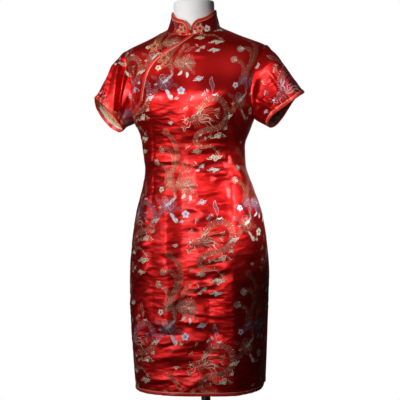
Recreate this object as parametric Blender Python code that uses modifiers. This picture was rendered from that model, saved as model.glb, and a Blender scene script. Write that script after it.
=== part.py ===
"""A short-sleeved brocade cheongsam on a limbless dress form with its stand.

Metres, +Z up, the wearer faces -Y, and the origin is the middle of the stand's underside. The cloth
pieces share one body surface, point(angle, height), whose level sections come from the SECTIONS
table. Angle 0 is the wearer's right side seam (-X), half a turn is the left one, positive angles run
over the front and negative ones over the back. Every cloth piece is a wall: an outer grid of points on
that surface, and an inner grid moved in along the surface's normals.
"""

import math
from collections import namedtuple

import bpy
import numpy as np

# ---- driving sizes -------------------------------------------------------------------------------
SEAM_GAP = 0.0003  # between two pieces that are sewn together
CLOTH = 0.0012  # lined brocade
TAPE = 0.0012  # satin binding, folded
TAPE_WIDTH = 0.008
HEM_HEIGHT = 0.490
SLIT_TOP = 0.699
SLIT_OPEN = 0.008  # how far apart a slit's edges hang at the hem
HEM_SETTLED = 0.600  # above this height the rows are level again
HEM_CORNER = (0.044, 0.022)  # width and height of the rounded corner beside each slit
UNDERARM = 1.180
SHOULDER_TIP = 1.365
NECK_POINT = 1.419
NECK_FRONT = 1.390
NECK_BACK = 1.424
ARMHOLE_FRONT = 0.475  # how far the armhole reaches round from the side, in radians
ARMHOLE_BACK = 0.42
OVERLAP = 0.012  # how far the yoke goes on under the front's slanted edge
OVERLAP_LIFT = 0.0027  # lifts the front clear of the yoke there
COLLAR_HEIGHT = 0.040
COLLAR_TOP = np.array([0.056, 0.058])  # its half width and half depth there
COLLAR_SEAM = 0.0009
COLLAR_END = (0.028, 0.032)  # width and height of the collar's rounded ends
COLLAR_HOOKED = 0.008  # the height over which the two ends meet
POLE_RADIUS = 0.012
FORM_BOTTOM = 0.655
NECK_TOP = 1.484
BASE_RADIUS = 0.160
BASE_THICKNESS = 0.008

Section = namedtuple("Section", "height half_width front back squareness shift")
SECTIONS = (
    Section(0.470, 0.1650, 0.132, 0.121, 2.50, -0.012),
    Section(0.540, 0.1705, 0.133, 0.125, 2.50, -0.012),
    Section(0.640, 0.1760, 0.133, 0.131, 2.45, -0.011),
    Section(0.777, 0.1808, 0.131, 0.135, 2.40, -0.007),
    Section(0.860, 0.1755, 0.126, 0.128, 2.35, -0.005),
    Section(0.940, 0.1630, 0.119, 0.112, 2.30, -0.004),
    Section(1.005, 0.1440, 0.111, 0.092, 2.25, -0.005),
    Section(1.063, 0.1310, 0.105, 0.077, 2.20, -0.009),
    Section(1.110, 0.1325, 0.110, 0.080, 2.25, -0.011),
    Section(1.155, 0.1435, 0.121, 0.090, 2.40, -0.007),
    Section(1.180, 0.1530, 0.126, 0.096, 2.50, -0.006),
    Section(1.224, 0.1620, 0.128, 0.101, 2.45, -0.004),
    Section(1.290, 0.1745, 0.113, 0.101, 2.35, -0.002),
    Section(1.335, 0.1840, 0.099, 0.096, 2.20, -0.001),
    Section(1.356, 0.1870, 0.091, 0.091, 2.10, 0.000),
    Section(1.366, 0.1800, 0.087, 0.088, 2.05, 0.000),
    Section(1.378, 0.1540, 0.081, 0.083, 2.00, 0.000),
    Section(1.390, 0.1240, 0.074, 0.077, 2.00, 0.000),
    Section(1.402, 0.0980, 0.067, 0.071, 2.00, 0.000),
    Section(1.419, 0.0655, 0.057, 0.062, 2.00, 0.000),
    Section(1.434, 0.0570, 0.054, 0.056, 2.00, 0.000),
    Section(1.500, 0.0520, 0.052, 0.052, 2.00, 0.000),
)

Mound = namedtuple("Mound", "x height width tall out")
MOUNDS = (  # the bust, shaped by the darts, and the ease over the seat
    Mound(0.076, 1.222, 0.048, 0.046, 0.014),
    Mound(-0.076, 1.222, 0.048, 0.046, 0.014),
)

# A fold is a soft ridge (out > 0) or trough (out < 0) along a line from one point to the other, seen
# from the front or the back: x and height of both ends, its half width, and how far out it stands.
Fold = namedtuple("Fold", "x0 z0 x1 z1 width out")
FRONT_FOLDS = (
    Fold(-0.112, 1.165, -0.106, 0.960, 0.012, -0.0024),  # the right waist dart
    Fold(0.094, 1.160, 0.100, 0.940, 0.012, -0.0024),  # the left waist dart
    Fold(0.106, 0.960, 0.104, 0.520, 0.016, 0.0045),  # pressed crease below the left dart
    Fold(-0.026, 1.040, -0.024, 0.820, 0.013, 0.0024),  # pressed crease at the middle
    Fold(-0.090, 1.098, 0.005, 1.090, 0.010, -0.0034),
    Fold(-0.112, 1.070, -0.010, 1.076, 0.011, 0.0040),
    Fold(-0.105, 1.044, -0.030, 1.054, 0.010, -0.0032),
    Fold(0.055, 1.076, 0.115, 1.062, 0.011, 0.0036),
    Fold(0.050, 1.046, 0.118, 1.036, 0.010, -0.0032),
    Fold(0.112, 0.965, 0.158, 0.900, 0.015, 0.0042),
    Fold(0.108, 0.920, 0.156, 0.852, 0.015, -0.0034),
    Fold(-0.160, 0.770, -0.110, 0.815, 0.016, 0.0036),
    Fold(-0.158, 0.700, -0.105, 0.735, 0.016, -0.0032),
    Fold(-0.055, 0.846, 0.075, 0.832, 0.015, -0.0034),
    Fold(-0.090, 0.800, 0.065, 0.788, 0.015, 0.0038),
    Fold(-0.010, 0.748, 0.090, 0.738, 0.015, 0.0034),
    Fold(-0.085, 0.705, 0.075, 0.700, 0.016, -0.0034),
    Fold(-0.065, 0.655, 0.085, 0.660, 0.016, 0.0034),
    Fold(-0.085, 0.600, 0.055, 0.610, 0.016, -0.0028),
    Fold(-0.034, 1.336, -0.086, 1.276, 0.012, -0.0024),
    Fold(-0.014, 1.330, -0.072, 1.262, 0.013, 0.0030),
    Fold(-0.005, 1.318, 0.062, 1.326, 0.014, 0.0024),
)
BACK_FOLDS = (
    Fold(-0.070, 1.160, -0.074, 0.930, 0.013, -0.0028),  # the back waist darts
    Fold(0.070, 1.160, 0.074, 0.930, 0.013, -0.0028),
    Fold(-0.100, 1.078, 0.020, 1.094, 0.014, 0.0040),
    Fold(-0.030, 1.048, 0.105, 1.058, 0.014, -0.0036),
    Fold(-0.095, 1.020, 0.060, 1.010, 0.015, 0.0034),
    Fold(0.105, 0.950, 0.150, 0.870, 0.017, 0.0036),
    Fold(-0.105, 0.940, -0.150, 0.860, 0.017, -0.0034),
    Fold(-0.080, 0.752, 0.070, 0.738, 0.018, 0.0034),
    Fold(-0.060, 0.652, 0.085, 0.668, 0.018, -0.0032),
    Fold(0.000, 0.590, 0.110, 0.578, 0.018, 0.0030),
)

# The slanted opening, from the front of the neck to the wearer's right armhole, seen from the front.
Station = namedtuple("Station", "x z")
SLANT = (
    Station(0.0000, 1.3900),
    Station(-0.0286, 1.3700),
    Station(-0.0654, 1.3520),
    Station(-0.0914, 1.3310),
    Station(-0.1090, 1.3050),
    Station(-0.1175, 1.2750),
    Station(-0.1200, 1.2480),
    Station(-0.1240, 1.2300),
    Station(-0.1340, 1.2170),
)
SLANT_FOOT = 1.208  # height at which it meets the armhole

# Heights of the points along each armhole and each shoulder seam. Front, yoke, back and sleeve share
# them, so that the sewn edges follow each other.
ARMHOLE_LEVELS = (
    1.180, 1.184, 1.193, 1.208, 1.226, 1.248, 1.272, 1.296, 1.320, 1.342, 1.358, SHOULDER_TIP,
)
SHOULDER_LEVELS = (SHOULDER_TIP, 1.3705, 1.377, 1.384, 1.391, 1.399, 1.408, NECK_POINT)

# Each sleeve: where its cuff's ring is, how far its front is drawn in and its back hangs out from the
# ring's plane, how far its underside sags, and its folds. A fold's ends are given by the angle round
# from the shoulder and the fraction of the way down.
Cuff = namedtuple("Cuff", "top_x top_z foot_x foot_z half_depth y front_in back_out sag")
SleeveFold = namedtuple("SleeveFold", "angle0 down0 angle1 down1 width out")
SLEEVES = {
    "right": (
        Cuff(0.275, 1.246, 0.199, 1.163, 0.058, 0.008, 0.016, 0.031, 0.000),
        (
            SleeveFold(0.55, 0.05, 1.50, 1.00, 0.22, -0.0085),
            SleeveFold(1.35, 0.10, 2.05, 1.00, 0.18, 0.0050),
            SleeveFold(0.10, 0.20, 0.80, 1.00, 0.16, 0.0035),
            SleeveFold(4.60, 0.10, 4.30, 1.00, 0.20, -0.0050),
            SleeveFold(5.30, 0.10, 5.50, 1.00, 0.20, 0.0035),
        ),
    ),
    "left": (
        Cuff(0.277, 1.242, 0.188, 1.156, 0.058, 0.008, 0.006, -0.004, 0.006),
        (
            SleeveFold(0.45, 0.10, 0.80, 1.00, 0.15, 0.0045),
            SleeveFold(0.75, 0.10, 1.10, 1.00, 0.17, -0.0040),
            SleeveFold(1.30, 0.25, 1.75, 1.00, 0.17, 0.0045),
            SleeveFold(4.50, 0.10, 4.20, 1.00, 0.20, -0.0050),
            SleeveFold(5.20, 0.10, 5.40, 1.00, 0.20, 0.0035),
        ),
    ),
}

COLOURS = {  # base colour, roughness, metallic
    "brocade": ((0.60, 0.030, 0.035), 0.38, 0.0),
    "satin_tape": ((0.66, 0.035, 0.035), 0.35, 0.0),
    "satin_cord": ((0.68, 0.045, 0.040), 0.40, 0.0),
    "form_skin": ((0.88, 0.88, 0.86), 0.60, 0.0),
    "stand_black": ((0.02, 0.02, 0.02), 0.35, 0.0),
}

collection = None


# ---- the body surface ----------------------------------------------------------------------------
def smooth_interp(x, knots, values):
    """Cubic through the knots whose slopes never overshoot, so that sections blend without ripples."""
    knots, values = np.asarray(knots, float), np.asarray(values, float)
    step = np.diff(knots)
    slope = np.diff(values) / step
    before, after = slope[:-1], slope[1:]
    weight_before, weight_after = 2 * step[1:] + step[:-1], step[1:] + 2 * step[:-1]
    same = before * after > 0
    tangent = np.zeros_like(values)
    tangent[0], tangent[-1] = slope[0], slope[-1]
    with np.errstate(divide="ignore", invalid="ignore"):
        mean = (weight_before + weight_after) / (weight_before / before + weight_after / after)
    tangent[1:-1] = np.where(same, mean, 0.0)
    x = np.clip(x, knots[0], knots[-1])
    i = np.clip(np.searchsorted(knots, x, side="right") - 1, 0, len(step) - 1)
    s = (x - knots[i]) / step[i]
    return (
        (1 + 2 * s) * (1 - s) ** 2 * values[i]
        + s * (1 - s) ** 2 * step[i] * tangent[i]
        + s**2 * (3 - 2 * s) * values[i + 1]
        + s**2 * (s - 1) * step[i] * tangent[i + 1]
    )


def section(column, height):
    return smooth_interp(height, [row.height for row in SECTIONS], [getattr(row, column) for row in SECTIONS])


def smoothstep(x):
    x = np.clip(x, 0.0, 1.0)
    return x * x * (3 - 2 * x)


def unit(vectors):
    return vectors / np.maximum(np.linalg.norm(vectors, axis=-1, keepdims=True), 1e-12)


def body(angle, height):
    """Points of the body: superellipse sections with their own depth in front and behind, and the bust."""
    angle, height = np.broadcast_arrays(np.asarray(angle, float), np.asarray(height, float))
    power = 2.0 / section("squareness", height)
    across, deep = np.cos(angle), np.sin(angle)
    x = -section("half_width", height) * np.sign(across) * np.abs(across) ** power
    depth = np.where(deep >= 0, -section("front", height), section("back", height))
    y = depth * np.abs(deep) ** power
    for mound in MOUNDS:
        near = ((x - mound.x) / mound.width) ** 2 + ((height - mound.height) / mound.tall) ** 2
        y = y - np.where(deep > 0, mound.out * np.exp(-near) * smoothstep(deep * 2), 0.0)
    return np.stack([x + section("shift", height), y, height], axis=-1)


def body_normal(angle, height):
    """The outward normal of body(), from the surface's two tangents."""
    turn, rise = 0.012, 0.0015
    along = body(angle + turn, height) - body(angle - turn, height)
    up = body(angle, height + rise) - body(angle, height - rise)
    return unit(np.cross(along, up))


def fold_relief(x, z, folds):
    """Sum of the folds at points seen from the front: a bell across each line, fading at its ends."""
    total = np.zeros_like(x)
    for fold in folds:
        run = np.array([fold.x1 - fold.x0, fold.z1 - fold.z0])
        length = np.linalg.norm(run)
        run /= length
        along = (x - fold.x0) * run[0] + (z - fold.z0) * run[1]
        across = (x - fold.x0) * run[1] - (z - fold.z0) * run[0]
        ends = smoothstep((along + fold.width) / (2.5 * fold.width))
        ends = ends * smoothstep((length + fold.width - along) / (2.5 * fold.width))
        total += fold.out * ends * np.exp(-((across / fold.width) ** 2))
    return total


def cloth(angle, height, lift=0.0, folded=True):
    """Outer cloth points and their normals: the body surface with its folds, which die out at the sides."""
    points, normals = body(angle, height), body_normal(angle, height)
    side = smoothstep(np.abs(np.sin(angle)) * 3.0)
    front = fold_relief(points[..., 0], points[..., 2], FRONT_FOLDS)
    back = fold_relief(points[..., 0], points[..., 2], BACK_FOLDS)
    relief = np.where(np.sin(angle) > 0, front, back) * side * folded + lift
    return points + normals * relief[..., None], normals


def angle_of(x, height):
    """The front angle at which the body has this x."""
    ratio = np.clip((x - section("shift", height)) / section("half_width", height), -1, 1)
    return np.arccos(-np.sign(ratio) * np.abs(ratio) ** (section("squareness", height) / 2))


def armhole_angle(height, reach):
    """How far from the side the armhole edge is: half an ellipse between the underarm and the tip."""
    middle, half = (UNDERARM + SHOULDER_TIP) / 2, (SHOULDER_TIP - UNDERARM) / 2
    inside = 1 - ((np.asarray(height, float) - middle) / half) ** 2
    return reach * np.sqrt(np.clip(inside, 0, None))


def neckline(angle):
    """Height of the neck seam at an angle of the body."""
    middle = np.where(np.sin(angle) > 0, NECK_FRONT, NECK_BACK)
    return middle + (NECK_POINT - middle) * np.abs(np.cos(angle)) ** 1.7


def spaced_angles(height, start, end, distances):
    """Angles on the level section from start to end at these distances, as measured along the cloth."""
    dense = np.linspace(start, end, 361)
    points = body(dense, np.full_like(dense, height))
    walked = np.concatenate([[0], np.cumsum(np.linalg.norm(np.diff(points, axis=0), axis=1))])
    return np.interp(distances(walked[-1]), walked, dense)


def column_distances(columns):
    """Places of the column lines along a row: one a tape's width in from each edge, the rest between."""

    def distances(length):
        even = np.linspace(0, 1, columns - 1)
        even = even - 0.30 * np.sin(2 * math.pi * even) / (2 * math.pi)
        inner = TAPE_WIDTH + (length - 2 * TAPE_WIDTH) * even
        return np.concatenate([[0], inner, [length]])

    return distances


def coons(bottom, top, left, right):
    """A grid of (angle, height) between four edges, which share their corners; rows run bottom to top."""
    s = np.linspace(0, 1, len(bottom))[None, :, None]
    w = np.linspace(0, 1, len(left))[:, None, None]
    bottom, top, left, right = (np.asarray(edge, float) for edge in (bottom, top, left, right))
    ruled = (1 - w) * bottom[None] + w * top[None] + (1 - s) * left[:, None] + s * right[:, None]
    corners = (1 - w) * ((1 - s) * bottom[0] + s * bottom[-1]) + w * ((1 - s) * top[0] + s * top[-1])
    return ruled - corners


def resample(points, count):
    """Count points evenly spaced along a polyline of any dimension, through a smooth curve."""
    points = np.asarray(points, float)
    walked = np.concatenate([[0], np.cumsum(np.linalg.norm(np.diff(points, axis=0), axis=1))])
    dense = np.linspace(0, walked[-1], 400)
    curve = np.stack([smooth_interp(dense, walked, column) for column in points.T], axis=-1)
    length = np.concatenate([[0], np.cumsum(np.linalg.norm(np.diff(curve, axis=0), axis=1))])
    even = np.linspace(0, length[-1], count)
    return np.stack([np.interp(even, length, column) for column in curve.T], axis=-1)


# ---- Blender objects -----------------------------------------------------------------------------
def clear_scene():
    for obj in list(bpy.data.objects):
        bpy.data.objects.remove(obj, do_unlink=True)


def material(name, finish):
    colour, roughness, metallic = COLOURS[finish]
    mat = bpy.data.materials.new(name)
    mat.use_nodes = True
    shader = mat.node_tree.nodes["Principled BSDF"]
    shader.inputs["Base Color"].default_value = (*colour, 1.0)
    shader.inputs["Roughness"].default_value = roughness
    shader.inputs["Metallic"].default_value = metallic
    mat.diffuse_color = (*colour, 1.0)
    return mat


def add_object(name, data, finish):
    obj = bpy.data.objects.new(name, data)
    collection.objects.link(obj)
    data.materials.append(material(name, finish))
    return obj


def add_mesh(name, points, faces, finish):
    """A mesh object whose faces are turned, if need be, so that it holds a positive volume."""
    points = np.asarray(points, float)
    faces = np.asarray(faces, int)
    a, b, c = (points[faces[:, k]] for k in range(3))
    if np.einsum("ij,ij->i", a, np.cross(b, c)).sum() < 0:
        faces = faces[:, ::-1]
    mesh = bpy.data.meshes.new(name)
    mesh.from_pydata(points.tolist(), [], faces.tolist())
    mesh.shade_smooth()
    mesh.set_sharp_from_angle(angle=math.radians(40))
    return add_object(name, mesh, finish)


def wall(name, outer, inner, finish, keep=None, wrap=False):
    """A closed wall between two grids of points, over the cells that are kept.

    Both faces use the same diagonal in each cell, and a rim joins them along every open edge. With
    wrap the columns close into a ring.
    """
    rows, columns = outer.shape[:2]
    cells = columns if wrap else columns - 1
    if keep is None:
        keep = np.ones((rows - 1, cells), bool)
    triangles = []
    for row, cell in zip(*np.nonzero(keep)):
        a, b = row * columns + cell, row * columns + (cell + 1) % columns
        triangles += [(a, b, b + columns), (a, b + columns, a + columns)]
    outside = np.array(triangles)
    count = rows * columns
    edges = {(t[k], t[(k + 1) % 3]) for t in triangles for k in range(3)}
    rim = [(a, b) for a, b in edges if (b, a) not in edges]
    rims = [(b, a, a + count) for a, b in sorted(rim)] + [(b, a + count, b + count) for a, b in sorted(rim)]
    faces = np.concatenate([outside, outside[:, ::-1] + count, np.array(rims)])
    points = np.concatenate([outer.reshape(-1, 3), inner.reshape(-1, 3)])
    used, index = np.unique(faces, return_inverse=True)
    return add_mesh(name, points[used], index.reshape(faces.shape), finish)


def tape_on(name, outer, normals, keep, wrap=False):
    """A binding on top of the cells of a cloth grid that are kept, made from the cloth's own points."""
    low = outer + normals * SEAM_GAP
    return wall(name, low + normals * TAPE, low, "satin_tape", keep, wrap)


def rings_solid(name, rings, finish):
    """A closed solid over a stack of rings with equal counts of points, with a flat cap at both ends."""
    rings = np.asarray(rings)
    count, around = rings.shape[:2]
    faces = []
    for ring in range(count - 1):
        for k in range(around):
            a, b = ring * around + k, ring * around + (k + 1) % around
            faces += [(a, b, b + around), (a, b + around, a + around)]
    points = np.concatenate([rings.reshape(-1, 3), rings[0].mean(0)[None], rings[-1].mean(0)[None]])
    low, high = count * around, count * around + 1
    last = (count - 1) * around
    for k in range(around):
        faces.append((low, (k + 1) % around, k))
        faces.append((high, last + k, last + (k + 1) % around))
    return add_mesh(name, points, faces, finish)


def turned(name, profile, finish, steps=40):
    """A turned piece: a profile of (radius, height) from top to bottom, swept by a Screw modifier."""
    mesh = bpy.data.meshes.new(name)
    points = [(radius, 0.0, height) for radius, height in profile]
    mesh.from_pydata(points, [(k, k + 1) for k in range(len(points) - 1)], [])
    obj = add_object(name, mesh, finish)
    screw = obj.modifiers.new("turn", "SCREW")
    screw.axis = "Z"
    screw.steps = screw.render_steps = steps
    screw.use_merge_vertices = True
    screw.merge_threshold = 0.00001
    screw.use_smooth_shade = True
    return obj


def ring_cord(name, points, radius, finish):
    """A closed cord: a cyclic curve object with a round bevel."""
    curve = bpy.data.curves.new(name, "CURVE")
    curve.dimensions = "3D"
    spline = curve.splines.new("POLY")
    spline.points.add(len(points) - 1)
    spline.points.foreach_set("co", np.column_stack([points, np.ones(len(points))]).ravel())
    spline.use_cyclic_u = True
    curve.bevel_depth = radius
    curve.bevel_resolution = 1
    return add_object(name, curve, finish)


# ---- cloth panels --------------------------------------------------------------------------------
Band = namedtuple("Band", "top front_rows back_rows")
BANDS = (  # rows of points between the hem and the underarm, closest at the waist, where it creases
    Band(SLIT_TOP, 8, 6),
    Band(0.860, 8, 5),
    Band(1.020, 7, 6),
    Band(1.110, 9, 6),
    Band(UNDERARM, 4, 3),
)


def panel_levels(front):
    """Heights of the level rows from the hem to the underarm; a row lies at the slit's top."""
    levels = [HEM_HEIGHT, HEM_HEIGHT + TAPE_WIDTH]
    for band in BANDS:
        rows = band.front_rows if front else band.back_rows
        levels += list(np.linspace(levels[-1], band.top, rows + 1)[1:])
    return np.array(levels)


def rows_below(levels, height):
    """How many rows of cells lie below this height."""
    return int(np.searchsorted(levels, height - 1e-6))


def hem_rise(from_side, inset):
    """How far the hem's rounded corner, or its tape's inner edge, rises above the straight hem."""
    wide, tall = HEM_CORNER[0] - inset, HEM_CORNER[1] - inset
    reach = np.clip((HEM_CORNER[0] - from_side) / wide, 0, 1)
    return tall * (1 - np.sqrt(1 - reach**2))


def level_rows(levels, columns, front):
    """(angle, height) grid of the panel below the underarm, with the slits' edges and rounded corners."""
    sign = 1 if front else -1
    hem_tape_top = HEM_HEIGHT + TAPE_WIDTH
    distances = column_distances(columns)
    angles, heights = [], []
    for k, level in enumerate(levels):
        opening = SLIT_OPEN / 2 * smoothstep((SLIT_TOP - level) / (SLIT_TOP - HEM_HEIGHT))
        margin = SEAM_GAP / 2 + opening

        def inset_distances(length):
            return margin + distances(length - 2 * margin)

        row = spaced_angles(level, 0.0, sign * math.pi, inset_distances)
        length = distances(2 * (section("half_width", level) + section("front", level)) * 1.3)
        from_side = np.minimum(length, length[::-1])
        if k == 0:
            height = level + hem_rise(from_side, 0.0)
        elif k == 1:
            height = level + hem_rise(np.maximum(from_side, TAPE_WIDTH), TAPE_WIDTH)
            height[[0, -1]] += TAPE_WIDTH
            tape_edge = height
        else:
            blend = np.clip((level - hem_tape_top) / (HEM_SETTLED - hem_tape_top), 0, 1)
            height = level + (tape_edge - hem_tape_top) * (1 - blend)
        angles.append(row)
        heights.append(np.broadcast_to(height, row.shape))
    return np.stack([np.array(angles), np.array(heights)], axis=-1)


def armhole_rows(levels, columns, front):
    """(angle, height) rows between the two armholes, level from edge to edge."""
    sign, reach = (1, ARMHOLE_FRONT) if front else (-1, ARMHOLE_BACK)
    rows = []
    for level in levels:
        start = armhole_angle(level, reach)
        row = spaced_angles(level, sign * start, sign * (math.pi - start), column_distances(columns))
        rows.append(np.stack([row, np.full_like(row, level)], axis=-1))
    return np.array(rows)


def right_edge(levels, reach=ARMHOLE_FRONT):
    """(angle, height) of the wearer's left armhole's front edge, then of the shoulder seam."""
    arm = [(math.pi - armhole_angle(z, reach), z) for z in levels if z < SHOULDER_TIP]
    return np.array(arm + [(math.pi - SEAM_GAP, z) for z in SHOULDER_LEVELS])


def slant_line(count, offset=0.0):
    """Points (x, z) of the slanted edge from its foot at the armhole up to the neck, moved towards
    the front's side by offset."""
    foot_x = body(armhole_angle(SLANT_FOOT, ARMHOLE_FRONT), SLANT_FOOT)[0]
    line = resample([(foot_x, SLANT_FOOT)] + [tuple(p) for p in reversed(SLANT)], count)
    along = unit(np.gradient(line, axis=0))
    return line + offset * np.stack([along[:, 1], -along[:, 0]], axis=-1)


def neck_edge(start_x, end_angle, count):
    """(angle, height) along the front neckline from this x to this angle."""
    angles = np.linspace(angle_of(start_x, NECK_FRONT), end_angle, count)
    return np.stack([angles, neckline(angles)], axis=-1)


def overlap_lift(points):
    """Lift of the front over the yoke: full for twice its width, gone at five times."""
    line = slant_line(60)
    edge = body(angle_of(line[:, 0], line[:, 1]), line[:, 1])
    apart = np.linalg.norm(points[..., None, :] - edge, axis=-1).min(axis=-1)
    return OVERLAP_LIFT * smoothstep((5 * OVERLAP - apart) / (3 * OVERLAP))


def build_front(columns=24):
    """The front: level rows up to the slanted edge's foot, then a patch between that edge and the
    wearer's left armhole and shoulder. Also its two bindings."""
    levels = panel_levels(front=True)
    below = level_rows(levels, columns, front=True)
    arm_levels = [z for z in ARMHOLE_LEVELS if UNDERARM < z <= SLANT_FOOT]
    middle = armhole_rows(arm_levels, columns, front=True)
    right = right_edge([z for z in ARMHOLE_LEVELS if z >= SLANT_FOOT])
    slant = slant_line(len(right))
    tape_edge = slant_line(len(right), TAPE_WIDTH)
    foot, inner_foot = middle[-1][0], middle[-1][1]
    tape_edge[:, 1] = np.maximum(tape_edge[:, 1], SLANT_FOOT + 0.003 * np.arange(len(right)))
    left = np.stack([angle_of(tape_edge[:, 0], tape_edge[:, 1]), tape_edge[:, 1]], axis=-1)
    left[0] = inner_foot
    top = neck_edge(TAPE_WIDTH, math.pi - SEAM_GAP, columns)
    left[-1] = top[0]
    patch = coons(middle[-1][1:], top, left, right)
    outside = np.stack([angle_of(slant[:, 0], slant[:, 1]), slant[:, 1]], axis=-1)
    outside[0] = foot
    outside[-1] = (angle_of(0.0004, NECK_FRONT), NECK_FRONT)
    upper = np.concatenate([outside[:, None], patch], axis=1)
    grid = np.concatenate([below, middle, upper[1:]])
    angle, height = grid[..., 0], grid[..., 1]
    outer, normals = cloth(angle, height, overlap_lift(body(angle, height)))
    wall("front_panel", outer, outer - normals * CLOTH, "brocade")

    cells = np.zeros((len(grid) - 1, columns), bool)
    hem = cells.copy()
    hem[0] = True
    hem[: rows_below(levels, SLIT_TOP), [0, -1]] = True
    tape_on("hem_binding_front", outer, normals, hem)
    slanted = cells.copy()
    slanted[len(below) + len(middle) - 1 :, 0] = True
    tape_on("slant_binding", outer, normals, slanted)


def build_yoke():
    """The piece under the slanted edge: wearer's right armhole, shoulder seam and neckline."""
    arm_levels = [z for z in ARMHOLE_LEVELS if z >= SLANT_FOOT - 0.016]
    left = np.array([(armhole_angle(z, ARMHOLE_FRONT), z) for z in arm_levels])
    left[-1, 0] = SEAM_GAP
    top = np.array([(SEAM_GAP, z) for z in SHOULDER_LEVELS])
    fine = resample(top, 2 * len(top) - 1)
    under = slant_line(len(fine), OVERLAP)
    bottom = np.stack([angle_of(under[:, 0], under[:, 1]), under[:, 1]], axis=-1)
    right = neck_edge(OVERLAP * 0.8, SEAM_GAP, len(left))
    bottom[0], bottom[-1] = left[0], right[0]
    grid = coons(bottom, fine, left, right)
    outer, normals = cloth(grid[..., 0], grid[..., 1], folded=False)
    wall("front_yoke", outer, outer - normals * CLOTH, "brocade")


def build_back(columns=17):
    """The back in one piece, from the hem to the neck seam."""
    levels = panel_levels(front=False)
    below = level_rows(levels, columns, front=False)
    middle = armhole_rows([z for z in ARMHOLE_LEVELS if UNDERARM < z < SHOULDER_TIP], columns, front=False)
    rows = []
    for level in SHOULDER_LEVELS:
        angles = np.linspace(-SEAM_GAP, SEAM_GAP - math.pi, columns + 1)
        rise = (level - SHOULDER_TIP) / (NECK_POINT - SHOULDER_TIP)
        heights = SHOULDER_TIP + rise * (neckline(angles) - SHOULDER_TIP)
        rows.append(np.stack([angles, heights], axis=-1))
    grid = np.concatenate([below, middle, np.array(rows)])
    outer, normals = cloth(grid[..., 0], grid[..., 1])
    wall("back_panel", outer, outer - normals * CLOTH, "brocade")
    hem = np.zeros((len(grid) - 1, columns), bool)
    hem[0] = True
    hem[: rows_below(levels, SLIT_TOP), [0, -1]] = True
    tape_on("hem_binding_back", outer, normals, hem)


# ---- sleeves -------------------------------------------------------------------------------------
SLEEVE_LEAVES_TIP = np.array([-0.88, 0.0, -0.47])  # the way the wearer's right sleeve leaves the armhole
SLEEVE_LEAVES_UNDERARM = np.array([-0.93, 0.0, -0.36])


def armhole_loop():
    """The wearer's right armhole from the shoulder tip down the front and up the back: (angle, height)
    at the shared levels, and how far round each point is, with 0 at the tip."""
    down = np.array(ARMHOLE_LEVELS[::-1])
    up = np.array(ARMHOLE_LEVELS[1:-1])
    angles = np.concatenate([armhole_angle(down, ARMHOLE_FRONT), -armhole_angle(up, ARMHOLE_BACK)])
    heights = np.concatenate([down, up])
    middle, half = (UNDERARM + SHOULDER_TIP) / 2, (SHOULDER_TIP - UNDERARM) / 2
    around = np.arccos(np.clip((heights - middle) / half, -1, 1))
    around[len(down) :] = 2 * math.pi - around[len(down) :]
    return angles, heights, around


def cuff_loop(cuff, around):
    """The cuff's edge, an ellipse from its outer top to its inner foot, and the way it faces."""
    top = np.array([-cuff.top_x, cuff.y, cuff.top_z])
    foot = np.array([-cuff.foot_x, cuff.y * 0.2, cuff.foot_z])
    centre, half = (top + foot) / 2, (top - foot) / 2
    out = unit(np.array([half[2], 0.0, -half[0]]) * -1)
    cosine, sine = np.cos(around)[:, None], np.sin(around)[:, None]
    loop = centre + half * cosine
    loop = loop + np.array([0.0, -cuff.half_depth, 0.0]) * np.sign(sine) * np.abs(sine) ** 0.9
    off_plane = np.where(sine > 0, -cuff.front_in * sine, -cuff.back_out * sine)
    return loop + out * off_plane, out


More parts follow.
